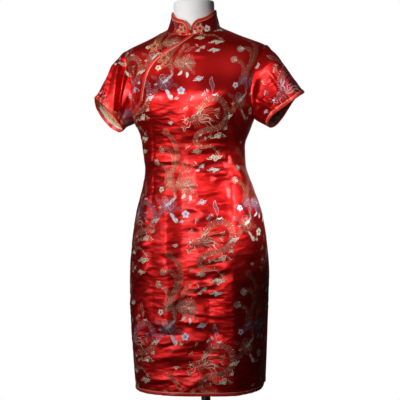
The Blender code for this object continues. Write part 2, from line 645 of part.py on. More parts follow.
def build_sleeve(side, rows=6):
    """A cap sleeve: a wall carried on smooth paths from the armhole to the cuff, and its binding."""
    cuff, folds = SLEEVES[side]
    angles, heights, around = armhole_loop()
    mirror = np.array([1.0, 1.0, 1.0]) if side == "right" else np.array([-1.0, 1.0, 1.0])
    if side == "left":
        angles = np.where(angles >= 0, math.pi - angles, -math.pi - angles)
    edge, seam_normal = body(angles, heights) * mirror, body_normal(angles, heights) * mirror
    tangent = unit(np.roll(edge, -1, axis=0) - np.roll(edge, 1, axis=0))
    start = edge + unit(np.cross(tangent, seam_normal)) * SEAM_GAP
    end, cuff_out = cuff_loop(cuff, around)
    reach = np.linalg.norm(end - start, axis=1)[:, None]
    top_share = (0.5 + 0.5 * np.cos(around))[:, None]
    leave = unit(top_share * SLEEVE_LEAVES_TIP + (1 - top_share) * SLEEVE_LEAVES_UNDERARM)
    leave = unit(leave + seam_normal * np.array([0.0, 0.35, 0.0]))
    arrive = unit(cuff_out + np.array([0.0, 0.0, -0.15]))
    sag = np.array([0.0, 0.0, -cuff.sag]) * (1 - top_share) ** 2

    def surface(down):
        s = down[..., None]
        return (
            (1 + 2 * s) * (1 - s) ** 2 * start
            + s * (1 - s) ** 2 * reach * leave
            + s**2 * (3 - 2 * s) * end
            + s**2 * (s - 1) * reach * arrive
            + 4 * s * (1 - s) * sag
        )

    tape_start = 1 - TAPE_WIDTH / reach[:, 0]
    steps = np.linspace(0, 1, rows)[:, None] * tape_start
    down = np.concatenate([steps, np.ones((1, len(around)))])
    points = surface(down)
    along = surface(np.clip(down + 0.02, 0, 1)) - surface(np.clip(down - 0.02, 0, 1))
    across = np.roll(points, -1, axis=1) - np.roll(points, 1, axis=1)
    normals = unit(np.cross(along, across))
    share = 0.5 + 0.5 * smoothstep(down / 0.25)[..., None]
    normals = unit(seam_normal * (1 - share) + normals * share)
    relief = np.zeros(down.shape)
    for fold in folds:
        place = fold.angle0 + (fold.angle1 - fold.angle0) * (down - fold.down0) / (fold.down1 - fold.down0)
        near = np.abs((around - place + math.pi) % (2 * math.pi) - math.pi)
        rise = smoothstep((down - fold.down0) / 0.4)
        relief += fold.out * rise * np.exp(-((near / fold.width) ** 2))
    points = points + normals * relief[..., None]
    points, normals = points * mirror, normals * mirror
    wall(f"sleeve_{side}", points, points - normals * CLOTH, "brocade", wrap=True)
    cells = np.zeros((len(points) - 1, len(around)), bool)
    cells[-1] = True
    tape_on(f"cuff_binding_{side}", points, normals, cells, wrap=True)


# ---- collar --------------------------------------------------------------------------------------
def collar_surface(angle, rise):
    """Outer points and normals of the collar: from the neck seam the band draws in to a rounder, smaller
    ring at its full height."""
    base = body(angle, neckline(angle)) + np.array([0.0, 0.0, COLLAR_SEAM])
    plan = base[..., :2]
    target = unit(plan / COLLAR_TOP) * COLLAR_TOP
    share = (rise / COLLAR_HEIGHT)[..., None]
    at = plan * (1 - share) + target * share
    points = np.concatenate([at, (base[..., 2] + rise)[..., None]], axis=-1)
    out = unit(at / COLLAR_TOP**2)
    return points, unit(np.concatenate([out, np.full(out.shape[:-1] + (1,), 0.15)], axis=-1))


def build_collar(columns=36):
    """The stand collar: a band from the neck seam, with rounded front ends, and its binding."""
    dense = np.linspace(math.pi / 2, -math.pi * 3 / 2, 721)
    line = body(dense, neckline(dense))
    walked = np.concatenate([[0], np.cumsum(np.linalg.norm(np.diff(line, axis=0), axis=1))])
    ends = np.array([0.0, TAPE_WIDTH, 0.013, 0.019])
    total = walked[-1] - 2 * SEAM_GAP
    inner = np.linspace(COLLAR_END[0], total - COLLAR_END[0], columns - 7)
    distance = np.concatenate([ends, inner, total - ends[::-1]])
    angles = np.interp(distance + SEAM_GAP, walked, dense)
    from_end = np.minimum(distance, total - distance)

    def end_curve(inset):
        reach = np.clip((COLLAR_END[0] - from_end) / (COLLAR_END[0] - inset), 0, 1)
        return COLLAR_HOOKED + (COLLAR_END[1] - inset) * np.sqrt(1 - reach**2)

    tape = end_curve(TAPE_WIDTH)
    tape[[0, -1]] = COLLAR_HOOKED * 0.6
    rise = np.stack([np.zeros_like(tape), tape * 0.5, tape, end_curve(0.0)])
    outer, normals = collar_surface(np.broadcast_to(angles, rise.shape), rise)
    wall("collar", outer, outer - normals * CLOTH, "brocade")
    cells = np.zeros((3, len(distance) - 1), bool)
    cells[2] = True
    cells[1, [0, -1]] = True
    tape_on("collar_binding", outer, normals, cells)


# ---- frog fastenings -----------------------------------------------------------------------------
Flower = namedtuple("Flower", "name x z size turn lift")  # z is above the neck seam on the collar
CHEST_FLOWERS = (
    Flower("chest_frog_flower_upper", -0.0900, 1.3660, 0.0135, 0.3, 0.0),
    Flower("chest_frog_flower_lower", -0.0610, 1.3320, 0.0155, 1.1, OVERLAP_LIFT + TAPE + SEAM_GAP),
)
COLLAR_FLOWERS = (
    Flower("collar_frog_flower_right", -0.0232, 0.0130, 0.0120, 0.94, 0.0),
    Flower("collar_frog_flower_left", 0.0262, 0.0130, 0.0120, 0.0, 0.0),
)
CORD = 0.0014
PETALS = 5
KNOT_X, KNOT_Z = -0.0751, 1.3532  # the chest frog's button, on the yoke beside the slanted edge
KNOT_RISE = 0.0085  # the collar frog's button, above the neck seam


def petal_line(size, turn, count=30):
    """A flower of five round petals drawn by one cord: the radius swings in and out five times."""
    around = np.linspace(0, 2 * math.pi, count, endpoint=False)
    radius = size * (0.80 + 0.20 * np.cos(PETALS * around))
    return radius * np.cos(around + turn), radius * np.sin(around + turn)


def build_chest_frog():
    above = CORD + 2 * SEAM_GAP
    for flower in CHEST_FLOWERS:
        across, up = petal_line(flower.size, flower.turn)
        z = flower.z + up
        points, normals = cloth(angle_of(flower.x + across, z), z, flower.lift, folded=False)
        ring_cord(flower.name, points + normals * above, CORD, "satin_cord")
    points, normals = cloth(angle_of(KNOT_X, KNOT_Z), KNOT_Z, folded=False)
    knot_at("chest_frog_knot", points, normals)


def build_collar_frog():
    above = CORD + 2 * SEAM_GAP
    for flower in COLLAR_FLOWERS:
        across, up = petal_line(flower.size, flower.turn)
        points, normals = collar_surface(angle_of(flower.x + across, NECK_FRONT), flower.z + up)
        ring_cord(flower.name, points + normals * (above + flower.lift), CORD, "satin_cord")
    points, normals = collar_surface(np.array(math.pi / 2), np.array(KNOT_RISE))
    knot_at("collar_frog_knot", points + normals * (TAPE + SEAM_GAP), normals)


def knot_at(name, point, normal, radius=0.0042):
    """A round knot button, a little flattened towards the cloth."""
    bpy.ops.mesh.primitive_uv_sphere_add(segments=12, ring_count=8, radius=radius)
    obj = bpy.context.object
    for other in list(obj.users_collection):
        other.objects.unlink(obj)
    collection.objects.link(obj)
    obj.name = obj.data.name = name
    obj.data.materials.append(material(name, "satin_cord"))
    obj.data.shade_smooth()
    obj.location = point + unit(np.asarray(normal)) * (radius + 0.0006)


# ---- form and stand ------------------------------------------------------------------------------
def form_clearance(height):
    """How far the form lies under the cloth's outer face: least on the shoulders, which carry it."""
    levels = (0.60, 0.78, 0.95, 1.06, 1.15, 1.23, 1.32, 1.36, 1.385, 1.42, 1.50)
    depth = (0.0080, 0.0068, 0.0100, 0.0110, 0.0080, 0.0052, 0.0044, 0.0050, 0.0032, 0.0030, 0.0000)
    return smooth_interp(height, levels, depth)


def build_form(around=24):
    """The torso and neck in one skin, with closed round shoulders and a rounded, closed bottom."""
    angles = np.linspace(0, 2 * math.pi, around, endpoint=False)
    angles = np.where(angles > math.pi, angles - 2 * math.pi, angles)
    heights = np.concatenate([
        np.linspace(FORM_BOTTOM + 0.012, 1.16, 14),
        np.linspace(1.19, 1.345, 6),
        np.array([1.355, 1.361, 1.367, 1.374, 1.382, 1.391, 1.401, 1.411, 1.422, 1.440]),
        np.array([NECK_TOP - 0.004]),
    ])
    rings = []
    for height in heights:
        level = np.full(around, height)
        ring = body(angles, level) - body_normal(angles, level) * form_clearance(level)[:, None]
        rings.append(ring)
    low, high = rings[0], rings[-1]
    for share, drop in ((0.985, 0.008), (0.95, 0.0115), (0.90, 0.012)):
        rings.insert(0, np.column_stack([low[:, :2] * share, low[:, 2] - drop]))
    rings.append(np.column_stack([high[:, :2] * 0.985, high[:, 2] + 0.003]))
    rings.append(np.column_stack([high[:, :2] * 0.94, high[:, 2] + 0.004]))
    rings_solid("form_torso", rings, "form_skin")


def build_stand():
    hub_height, hub_radius = 0.030, 0.026
    edge = 0.003
    turned("stand_base", [
        (0.0, BASE_THICKNESS),
        (BASE_RADIUS - edge, BASE_THICKNESS),
        (BASE_RADIUS - edge * 0.3, BASE_THICKNESS - edge * 0.3),
        (BASE_RADIUS, BASE_THICKNESS - edge),
        (BASE_RADIUS, 0.0015),
        (BASE_RADIUS - 0.0015, 0.0),
        (0.0, 0.0),
    ], "stand_black", 36)
    hub_foot = BASE_THICKNESS + SEAM_GAP
    hub_top = hub_foot + hub_height
    turned("stand_hub", [
        (0.0, hub_top),
        (hub_radius - 0.010, hub_top),
        (hub_radius - 0.007, hub_top - 0.004),
        (hub_radius - 0.006, hub_foot + 0.008),
        (hub_radius, hub_foot + 0.004),
        (hub_radius, hub_foot),
        (0.0, hub_foot),
    ], "stand_black", 24)
    flange_top = FORM_BOTTOM - SEAM_GAP
    flange_foot = flange_top - 0.026
    turned("form_flange", [
        (0.0, flange_top),
        (0.042, flange_top),
        (0.042, flange_top - 0.005),
        (0.019, flange_top - 0.009),
        (0.017, flange_foot),
        (0.0, flange_foot),
    ], "stand_black", 24)
    low, high = hub_top + SEAM_GAP, flange_foot - SEAM_GAP
    bpy.ops.mesh.primitive_cylinder_add(vertices=24, radius=POLE_RADIUS, depth=high - low)
    pole = bpy.context.object
    for other in list(pole.users_collection):
        other.objects.unlink(pole)
    collection.objects.link(pole)
    pole.name = pole.data.name = "stand_pole"
    pole.location = (0.0, 0.0, (low + high) / 2)
    pole.data.materials.append(material("stand_pole", "stand_black"))
    pole.data.shade_smooth()
    pole.data.set_sharp_from_angle(angle=math.radians(40))


def main():
    global collection
    clear_scene()
    collection = bpy.data.collections.new("cheongsam_on_dress_form")
    bpy.context.scene.collection.children.link(collection)
    build_front()
    build_yoke()
    build_back()
    for side in SLEEVES:
        build_sleeve(side)
    build_collar()
    build_chest_frog()
    build_collar_frog()
    build_form()
    build_stand()


main()
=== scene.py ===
"""Looks of a short-sleeved brocade cheongsam on a limbless dress form with its stand.

Metres, +Z up, the wearer faces -Y, and the origin is the middle of the stand's underside. The cloth
pieces share one body surface, point(angle, height). Angle 0 is the wearer's right side seam (-X), half
a turn is the left one, positive angles run over the front and negative ones over the back. A flat chart
lies on each cloth piece: u runs along the level section from the middle, v runs up the cloth. Woven
figures and tapes are laid out on that chart and then placed on the cloth.
"""

from __future__ import annotations

import logging
import math
from dataclasses import dataclass, field
from enum import Enum
from typing import Callable, Iterable, Sequence

import bpy
import numpy as np
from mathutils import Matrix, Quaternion, Vector

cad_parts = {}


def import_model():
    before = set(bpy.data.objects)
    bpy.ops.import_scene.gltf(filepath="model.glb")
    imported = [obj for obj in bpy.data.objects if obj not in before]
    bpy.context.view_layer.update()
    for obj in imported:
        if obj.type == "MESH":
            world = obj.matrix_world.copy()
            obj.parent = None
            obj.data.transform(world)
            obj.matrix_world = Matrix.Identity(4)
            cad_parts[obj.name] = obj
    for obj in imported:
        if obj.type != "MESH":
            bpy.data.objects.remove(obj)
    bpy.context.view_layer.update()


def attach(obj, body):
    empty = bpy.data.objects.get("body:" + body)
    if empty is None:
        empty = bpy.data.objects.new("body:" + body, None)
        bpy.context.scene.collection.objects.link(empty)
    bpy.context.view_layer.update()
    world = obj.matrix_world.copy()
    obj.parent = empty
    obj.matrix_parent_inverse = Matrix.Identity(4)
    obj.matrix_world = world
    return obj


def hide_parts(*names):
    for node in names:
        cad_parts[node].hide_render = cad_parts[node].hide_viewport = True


Array = np.ndarray
Mesh = tuple[Array, Array | list]
Object, Material = bpy.types.Object, bpy.types.Material
Pair = tuple[float, float]
Triple = tuple[float, float, float]
log = logging.getLogger("cheongsam")

BODY = "root"
SEAM_GAP = 0.0003
CLOTH = 0.0012
TAPE_WIDTH = 0.008
SHOULDER_TIP = 1.365
UNDERARM = 1.18
NECK_POINT = 1.419
NECK_POWER = 1.7
SLIT_TOP = 0.699
FORM_BOTTOM = 0.655
BUST_TOP = 1.235
HALF_TURN, TURN = math.pi, 2 * math.pi


# ---- curves and vectors ----
def smoothstep(x: Array) -> Array:
    """The cubic 3x^2 - 2x^3 between 0 and 1, held level outside."""
    x = np.clip(x, 0.0, 1.0)
    return x * x * (3 - 2 * x)


def unit(vectors: Array) -> Array:
    """Vectors over their own lengths."""
    return vectors / np.maximum(np.linalg.norm(vectors, axis=-1, keepdims=True), 1e-12)


def left_of(path: Array) -> Array:
    """Unit vectors square to a flat path, on its left."""
    along = unit(np.gradient(path, axis=0))
    return np.column_stack([-along[:, 1], along[:, 0]])


def walk(line: Array) -> Array:
    """The distance walked along a line at each of its points."""
    return np.concatenate([[0], np.cumsum(np.linalg.norm(np.diff(line, axis=0), axis=1))])


def even_steps(line: Array, count: int) -> Array:
    """A line cut into even steps, as that many points."""
    walked = walk(line)
    even = np.linspace(0, walked[-1], count)
    return np.column_stack([np.interp(even, walked, column) for column in line.T])


def ring_angles(count: int) -> Array:
    """Even angles round a ring."""
    return np.linspace(0, TURN, count, endpoint=False)


def cubic(s: Array, start: Array, end: Array, leave: Array, arrive: Array) -> Array:
    """The cubic from start (s = 0) to end (s = 1) with the given slopes at them."""
    return ((1 + 2 * s) * (1 - s) ** 2 * start + s * (1 - s) ** 2 * leave
            + s**2 * (3 - 2 * s) * end + s**2 * (s - 1) * arrive)


def smooth_interp(x: Array, knots: Sequence[float], values: Sequence[float]) -> Array:
    """Cubic through the knots whose slopes never overshoot, so that sections blend without ripples.

    Args:
        x: Where to read the curve.
        knots: Increasing places of the values.
        values: The value at each knot.

    Returns:
        The curve at x. The slope at a knot is the weighted harmonic mean of its neighbours' slopes,
        or 0 where they differ in sign.
    """
    knots, values = np.asarray(knots, float), np.asarray(values, float)
    step = np.diff(knots)
    slope = np.diff(values) / step
    before, after = slope[:-1], slope[1:]
    weight_before, weight_after = 2 * step[1:] + step[:-1], step[1:] + 2 * step[:-1]
    tangent = np.concatenate([slope[:1], np.zeros(len(step) - 1), slope[-1:]])
    with np.errstate(divide="ignore", invalid="ignore"):
        mean = (weight_before + weight_after) / (weight_before / before + weight_after / after)
    tangent[1:-1] = np.where(before * after > 0, mean, 0.0)
    x = np.clip(x, knots[0], knots[-1])
    i = np.clip(np.searchsorted(knots, x, side="right") - 1, 0, len(step) - 1)
    s = (x - knots[i]) / step[i]
    return cubic(s, values[i], values[i + 1], step[i] * tangent[i], step[i] * tangent[i + 1])


def under_line(x: Array, y: Array) -> float:
    """The area under a line of points."""
    return float((np.diff(x) * (y[1:] + y[:-1]) / 2).sum())


def levels(*bands: Triple) -> Array:
    """Heights of rows, from bands of (bottom, top, step), rounded to a micrometre."""
    rows = [np.linspace(a, b, max(2, round((b - a) / step) + 1)) for a, b, step in bands]
    return np.unique(np.concatenate(rows).round(6))


class Noise:
    """Smooth value noise on the plane, always the same for one seed."""

    def __init__(self, seed: int) -> None:
        """Draws the lattice of values."""
        self.lattice = np.random.default_rng(seed).uniform(-1, 1, (64, 64))

    def __call__(self, x: Array, y: Array) -> Array:
        """The lattice, blended by smoothstep.

        Args:
            x: Places across, in cells.
            y: Places up, in cells.

        Returns:
            Values from -1 to 1.
        """
        i, j = np.floor(x).astype(int), np.floor(y).astype(int)
        s, t = smoothstep(x - i), smoothstep(y - j)
        i, j = i % 64, j % 64
        k, m = (i + 1) % 64, (j + 1) % 64
        low = self.lattice[i, j] * (1 - s) + self.lattice[k, j] * s
        high = self.lattice[i, m] * (1 - s) + self.lattice[k, m] * s
        return low * (1 - t) + high * t


class Crumple:
    """Dimples with sharp rims on the plane: the distance to the nearest of a jittered lattice."""

    def __init__(self, seed: int) -> None:
        """Draws each cell's place within its square."""
        self.spots = np.random.default_rng(seed).uniform(0.05, 0.95, (64, 64, 2))

    def __call__(self, x: Array, y: Array) -> Array:
        """The least distance to the spots of a place's own cell and the eight round it.

        Args:
            x: Places across, in cells.
            y: Places up, in cells.

        Returns:
            Distances in cells.
        """
        i, j = np.floor(x).astype(int), np.floor(y).astype(int)
        near = np.full(x.shape, 9.0)
        for k in (i - 1, i, i + 1):
            for m in (j - 1, j, j + 1):
                spot = self.spots[k % 64, m % 64]
                near = np.minimum(near, np.hypot(k + spot[..., 0] - x, m + spot[..., 1] - y))
        return near


# ---- the body surface ----
FORM_LEVELS = (0.6, 0.78, 0.95, 1.06, 1.15, 1.23, 1.32, 1.36, 1.385, 1.42, 1.5)
FORM_CLEAR = (0.008, 0.0068, 0.01, 0.011, 0.008, 0.0052, 0.0044, 0.005, 0.0032, 0.003, 0.0)


class Row:
    """One row of a table of sizes."""

    @classmethod
    def table(cls, *rows: tuple) -> tuple:
        """All the rows of a table, each from its values in order."""
        return tuple(cls(*row) for row in rows)


@dataclass(frozen=True)
class Section(Row):
    """One level section of the garment: half its width, its depth in front and behind, and how square."""

    height: float
    half_width: float
    front: float
    back: float
    squareness: float
    shift: float


@dataclass(frozen=True)
class Mound:
    """A rounded swelling of the front, shaped by the darts."""

    x: float
    height: float = 1.222
    width: float = 0.048
    tall: float = 0.046
    out: float = 0.014


SECTIONS = Section.table(
    (0.47, 0.165, 0.132, 0.121, 2.5, -0.012), (0.54, 0.1705, 0.133, 0.125, 2.5, -0.012),
    (0.64, 0.176, 0.133, 0.131, 2.45, -0.011), (0.777, 0.1808, 0.131, 0.135, 2.4, -0.007),
    (0.86, 0.1755, 0.126, 0.128, 2.35, -0.005), (0.94, 0.163, 0.119, 0.112, 2.3, -0.004),
    (1.005, 0.144, 0.111, 0.092, 2.25, -0.005), (1.063, 0.131, 0.105, 0.077, 2.2, -0.009),
    (1.11, 0.1325, 0.11, 0.08, 2.25, -0.011), (1.155, 0.1435, 0.121, 0.09, 2.4, -0.007),
    (1.18, 0.153, 0.126, 0.096, 2.5, -0.006), (1.224, 0.162, 0.128, 0.101, 2.45, -0.004),
    (1.29, 0.1745, 0.113, 0.101, 2.35, -0.002), (1.335, 0.184, 0.099, 0.096, 2.2, -0.001),
    (1.356, 0.187, 0.091, 0.091, 2.1, 0.0), (1.366, 0.18, 0.087, 0.088, 2.05, 0.0),
    (1.378, 0.154, 0.081, 0.083, 2.0, 0.0), (1.39, 0.124, 0.074, 0.077, 2.0, 0.0),
    (1.402, 0.098, 0.067, 0.071, 2.0, 0.0), (1.419, 0.0655, 0.057, 0.062, 2.0, 0.0),
    (1.434, 0.057, 0.054, 0.056, 2.0, 0.0), (1.5, 0.052, 0.052, 0.052, 2.0, 0.0),
)


@dataclass(frozen=True)
class Figure:
    """The general figure that every cloth piece follows."""

    sections: tuple[Section, ...] = SECTIONS
    mounds: tuple[Mound, ...] = (Mound(0.076), Mound(-0.076))
    neck_front: float = 1.39
    neck_back: float = 1.424
    armhole_front: float = 0.475
    armhole_back: float = 0.42

    def size(self, column: str, height: Array) -> Array:
        """One column of the sections' table, read at any height."""
        heights = [row.height for row in self.sections]
        return smooth_interp(height, heights, [getattr(row, column) for row in self.sections])

    def point(self, angle: Array, height: Array) -> Array:
        """Superellipse sections with their own depth in front and behind, and the bust's mounds.

        Args:
            angle: Angle round the body.
            height: Height above the ground.

        Returns:
            Points, with the last axis for x, y and z.
        """
        angle, height = np.broadcast_arrays(np.asarray(angle, float), np.asarray(height, float))
        power = 2.0 / self.size("squareness", height)
        across, deep = np.cos(angle), np.sin(angle)
        x = -self.size("half_width", height) * np.sign(across) * np.abs(across) ** power
        depth = np.where(deep >= 0, -self.size("front", height), self.size("back", height))
        y = depth * np.abs(deep) ** power
        for mound in self.mounds:
            near = ((x - mound.x) / mound.width) ** 2 + ((height - mound.height) / mound.tall) ** 2
            y = y - np.where(deep > 0, mound.out * np.exp(-near) * smoothstep(deep * 2), 0.0)
        return np.stack([x + self.size("shift", height), y, height], axis=-1)

    def normal(self, angle: Array, height: Array, turn: float = 0.012, rise: float = 0.0015) -> Array:
        """The outward normal: the cross product of the surface's two tangents.

        Args:
            angle: Angle round the body.
            height: Height above the ground.
            turn: Half the step round the body over which the tangent is taken.
            rise: Half the step up.

        Returns:
            Unit vectors.
        """
        along = self.point(angle + turn, height) - self.point(angle - turn, height)
        up = self.point(angle, height + rise) - self.point(angle, height - rise)
        return unit(np.cross(along, up))

    def angle_of(self, x: Array, height: Array) -> Array:
        """The front angle at which the body has this x."""
        ratio = np.clip((x - self.size("shift", height)) / self.size("half_width", height), -1, 1)
        return np.arccos(-np.sign(ratio) * np.abs(ratio) ** (self.size("squareness", height) / 2))

    def neckline(self, angle: Array) -> Array:
        """Height of the neck seam: lowest in front, and rising towards the neck points at the sides."""
        middle = np.where(np.sin(angle) > 0, self.neck_front, self.neck_back)
        return middle + (NECK_POINT - middle) * np.abs(np.cos(angle)) ** NECK_POWER

    def neck_reach(self, height: Array, middle: float) -> Array:
        """How far round from the middle the neck seam lies at a height: the inverse of neckline()."""
        share = np.clip((height - middle) / (NECK_POINT - middle), 0, 1)
        return np.arcsin(share ** (1 / NECK_POWER))

    def armhole(self, height: Array, reach: float) -> Array:
        """How far from the side seam the armhole edge is: half an ellipse up to the shoulder tip."""
        middle, half = (UNDERARM + SHOULDER_TIP) / 2, (SHOULDER_TIP - UNDERARM) / 2
        inside = 1 - ((np.asarray(height, float) - middle) / half) ** 2
        return reach * np.sqrt(np.clip(inside, 0, None))

    def side(self, height: Array, reach: float) -> Array:
        """A panel's edge: the side seam, then the armhole, then the shoulder seam."""
        return np.where(height < UNDERARM, 0.0, self.armhole(height, reach))


# ---- folds ----
class Fold(Enum):
    """How a fold is formed across its line."""

    SOFT = "soft"
    PRESSED = "pressed"

    def across(self, t: Array) -> Array:
        """Height across the fold: a bell, or two flat slopes that meet in a slightly rounded ridge."""
        if self is Fold.SOFT:
            return np.exp(-(t**2))
        return np.clip(1.04 - np.sqrt(t**2 + 0.0016), 0, None)


SOFT, PRESSED = Fold.SOFT, Fold.PRESSED


@dataclass(frozen=True)
class Crease(Row):
    """A ridge (out > 0) or trough (out < 0) from one (x, z) to another, seen from its own side.

    All sizes are in millimetres, but on a sleeve. The fade is the share of its length over which each
    end dies away, and the bow is how far its middle swings sideways.
    """

    x0: float
    z0: float
    x1: float
    z1: float
    width: float
    out: float
    form: Fold = SOFT
    fade: float = 0.35
    bow: float = 0.0


def relief(x: Array, z: Array, creases: Iterable[Crease], sag: float = 1.3, deep: float = 1.2) -> Array:
    """How far the creases lift the cloth at points seen from the front or back.

    Args:
        x: Places across.
        z: Heights.
        creases: The table of creases.
        sag: How much longer the slope that looks up is on a level crease.
        deep: How much deeper all creases lie than their table says.

    Returns:
        The sum over the creases of out, times the form across its line, times the fade at its ends.
    """
    x, z, total = x * 1000, z * 1000, np.zeros_like(x)
    for crease in creases:
        run = np.array([crease.x1 - crease.x0, crease.z1 - crease.z0])
        length = np.linalg.norm(run)
        run = run / length
        along = (x - crease.x0) * run[0] + (z - crease.z0) * run[1]
        across = (x - crease.x0) * run[1] - (z - crease.z0) * run[0]
        share = np.clip(along / length, 0, 1)
        across = across - crease.bow * 4 * share * (1 - share)
        fade = crease.width + crease.fade * length
        ends = smoothstep((along + crease.width) / fade) * smoothstep((length + crease.width - along) / fade)
        looks_up = across * run[0] * crease.out < 0
        width = crease.width * np.where(looks_up, 1 + sag * abs(run[0]), 1.0)
        total += crease.out * ends * crease.form.across(across / width)
    return total * deep / 1000


FRONT_CREASES = Crease.table(
    # pressed down the skirt below the darts, folded in at its middle, and out at the right hip
    (100, 1052, 97, 900, 40, 4, PRESSED, 0.3), (98, 940, 92, 440, 55, 10.5, PRESSED, 0.24),
    (-66, 1040, -70, 620, 36, 4.8, PRESSED, 0.2), (-25.5, 1085, -27, 620, 36, -5, PRESSED, 0.16),
    (-114, 995, -138, 790, 20, 3, PRESSED, 0.2),
    # the hollow and the fold at the left of the waist
    (106, 1135, 120, 1062, 16, -4.5, SOFT, 0.3), (91, 1090, 137, 1034, 8, 5, PRESSED, 0.25),
    # the seams of the right dart and the left one
    (-94, 1215, -108, 944, 3, -1.6, SOFT, 0.2), (96, 1213, 88, 1054, 3, -1.8, SOFT, 0.2),
    (88, 1054, 96, 921, 3, -1.4, SOFT, 0.2),
    # over and under the bust
    (-115, 1247, 6, 1250, 16, 2.6), (6, 1250, 135, 1243, 16, 3), (-85, 1220, -27, 1178, 12, -3),
    (-98, 1180, -40, 1160, 14, -3), (86, 1228, 115, 1194, 10, -2.6), (-4, 1225, -2, 1120, 14, 3),
    # the roll beside the slanted opening, and two small ones under the collar
    (-6, 1378, -72, 1308, 6.5, 4, PRESSED, 0.3, 2), (-12, 1385, -70, 1325, 6, -3),
    (-4, 1366, -75, 1297, 4, -2.2, SOFT, 0.3), (4, 1336, 48, 1334, 4.5, 0.8, PRESSED),
    (40, 1372, 75, 1371, 5, 1.6),
    # the left of the bodice
    (108, 1226, 130, 1150, 7, 3, PRESSED), (120, 1232, 143, 1165, 6, -3.2), (102, 1190, 122, 1140, 6, -3),
    (93, 1152, 124, 1086, 8, 3.4), (87, 1112, 128, 1035, 7, -4.2), (96, 1115, 133, 1047, 6, 3.6, PRESSED),
    (90, 1082, 124, 1020, 6, 3),
    # the right of the waist
    (-106, 1140, -40, 1130, 9, -2.4), (-106, 1106, -24, 1091, 6, -2.8),
    (-125, 1080, -28, 1073, 6, 3.6, PRESSED), (-131, 1060, -34, 1068, 5, -3.8),
    (-138, 1034, -88, 1072, 5, -3.6), (-109, 1044, -30, 1038, 8, 3.2), (-128, 1010, -60, 1022, 6, -2.8),
    # the middle of the waist
    (-18, 1101, 85, 1110, 6, 3, PRESSED), (-13, 1090, 82, 1095, 5, -3.6),
    (-23, 1071, 21, 1062, 5, 2.8, PRESSED), (11, 1055, 86, 1075, 6, -3.4),
    (21, 1041, 92, 1045, 5, 3.2, PRESSED), (50, 1031, 92, 1034, 4.5, -3.8),
    (62, 1018, 92, 1022, 4.5, 3, PRESSED),
    # the skirt, down the middle
    (-20, 1001, 45, 1004, 9, -2.4), (-5, 988, 88, 1000, 8, 2.8, PRESSED), (60, 967, 97, 972, 5, -3.6),
    (-22, 946, 25, 943, 7, -2.4), (-15, 931, 84, 941, 9, 2.6), (-24, 899, 19, 899, 8, -3.2),
    (19, 884, 95, 901, 8, 2.6, PRESSED), (-21, 862, 53, 856, 9, -2.2), (-76, 834, -30, 838, 7, -3),
    (-4, 810, 94, 825, 6, -3.6), (8, 796, 94, 808, 7, 3.2, PRESSED), (-28, 779, 47, 780, 7, -3.8),
    (42, 778, 96, 798, 6, -3), (-24, 756, 61, 770, 8, 3.8, PRESSED), (-72, 711, -14, 749, 7, 3.6, PRESSED),
    (-9, 731, 80, 735, 8, -2.8), (-11, 699, 81, 685, 6, 3, PRESSED), (-116, 672, -54, 665, 7, 3.4, PRESSED),
    (-54, 677, 59, 671, 8, 3.6, PRESSED), (-100, 650, -37, 640, 7, -3.8), (-16, 655, 82, 645, 8, -3),
    (-96, 615, -48, 630, 7, 3.4, PRESSED), (-48, 630, 43, 629, 9, 3), (-28, 608, 51, 597, 11, -3.6),
    (-119, 579, -34, 592, 9, 2.4), (-92, 561, 11, 568, 10, -2.4), (-21, 513, 25, 538, 10, 3.4, PRESSED),
    (25, 538, 68, 512, 9, 3, PRESSED), (-133, 521, -61, 532, 8, 2.6, PRESSED),
    # the left hip
    (104, 968, 164, 889, 6, 4.6, PRESSED), (117, 968, 163, 909, 6, -4.2), (101, 935, 160, 870, 7, -3.4),
    (103, 911, 156, 863, 7, 3.2, PRESSED), (102, 832, 164, 815, 9, -2.2),
    (105, 768, 137, 772, 6, 2.2, PRESSED),
    # the right hip
    (-163, 765, -112, 815, 7, 3.4, PRESSED), (-168, 734, -110, 790, 7, -3.4),
    (-188, 693, -119, 754, 8, 3, PRESSED), (-157, 882, -106, 909, 8, -2.6), (-163, 846, -101, 879, 8, 2.8),
    (-151, 726, -159, 611, 10, 3, PRESSED), (-127, 703, -139, 614, 10, -2.8),
)
BACK_CREASES = Crease.table(
    # the darts' seams
    (-70, 1190, -74, 920, 3.5, -1.8, SOFT, 0.2), (70, 1190, 74, 920, 3.5, -1.8, SOFT, 0.2),
    # pressed down the skirt
    (-4, 980, 2, 440, 32, 4, PRESSED, 0.2), (104, 960, 100, 440, 30, 3.6, PRESSED, 0.2),
    # the waist, the hips, the shoulders, and then down the skirt
    (-100, 1078, 20, 1094, 8, 4, PRESSED), (-92, 1064, 12, 1082, 6, -3.4),
    (10, 1098, 104, 1080, 7, 3.4, PRESSED), (-30, 1048, 105, 1058, 7, -3.6),
    (-110, 1040, -30, 1030, 7, 3.2, PRESSED), (-95, 1016, 60, 1008, 8, 3.2, PRESSED),
    (-40, 996, 80, 1000, 7, -3), (105, 950, 150, 870, 9, 3.6, PRESSED), (98, 928, 146, 850, 8, -3.4),
    (-105, 940, -150, 860, 9, -3.4), (-98, 915, -146, 835, 8, 3.2, PRESSED),
    (-90, 1250, -20, 1215, 12, 2.4), (85, 1245, 15, 1205, 12, 2.4), (-118, 1170, -60, 1120, 9, -3),
    (118, 1165, 62, 1118, 9, 3, PRESSED), (-70, 884, 10, 892, 9, 2.4, PRESSED), (12, 850, 98, 838, 9, -2.6),
    (-100, 806, -12, 790, 8, 3, PRESSED), (-80, 752, 70, 738, 9, 3.4, PRESSED),
    (-60, 730, 60, 720, 8, -3.2), (40, 690, 120, 706, 8, 2.6, PRESSED), (-60, 652, 85, 668, 9, -3.2),
    (-124, 628, -50, 640, 8, 2.8, PRESSED), (0, 590, 110, 578, 10, 3, PRESSED),
    (-90, 560, 10, 548, 9, -2.6), (-30, 520, 60, 530, 9, 2.6, PRESSED),
)
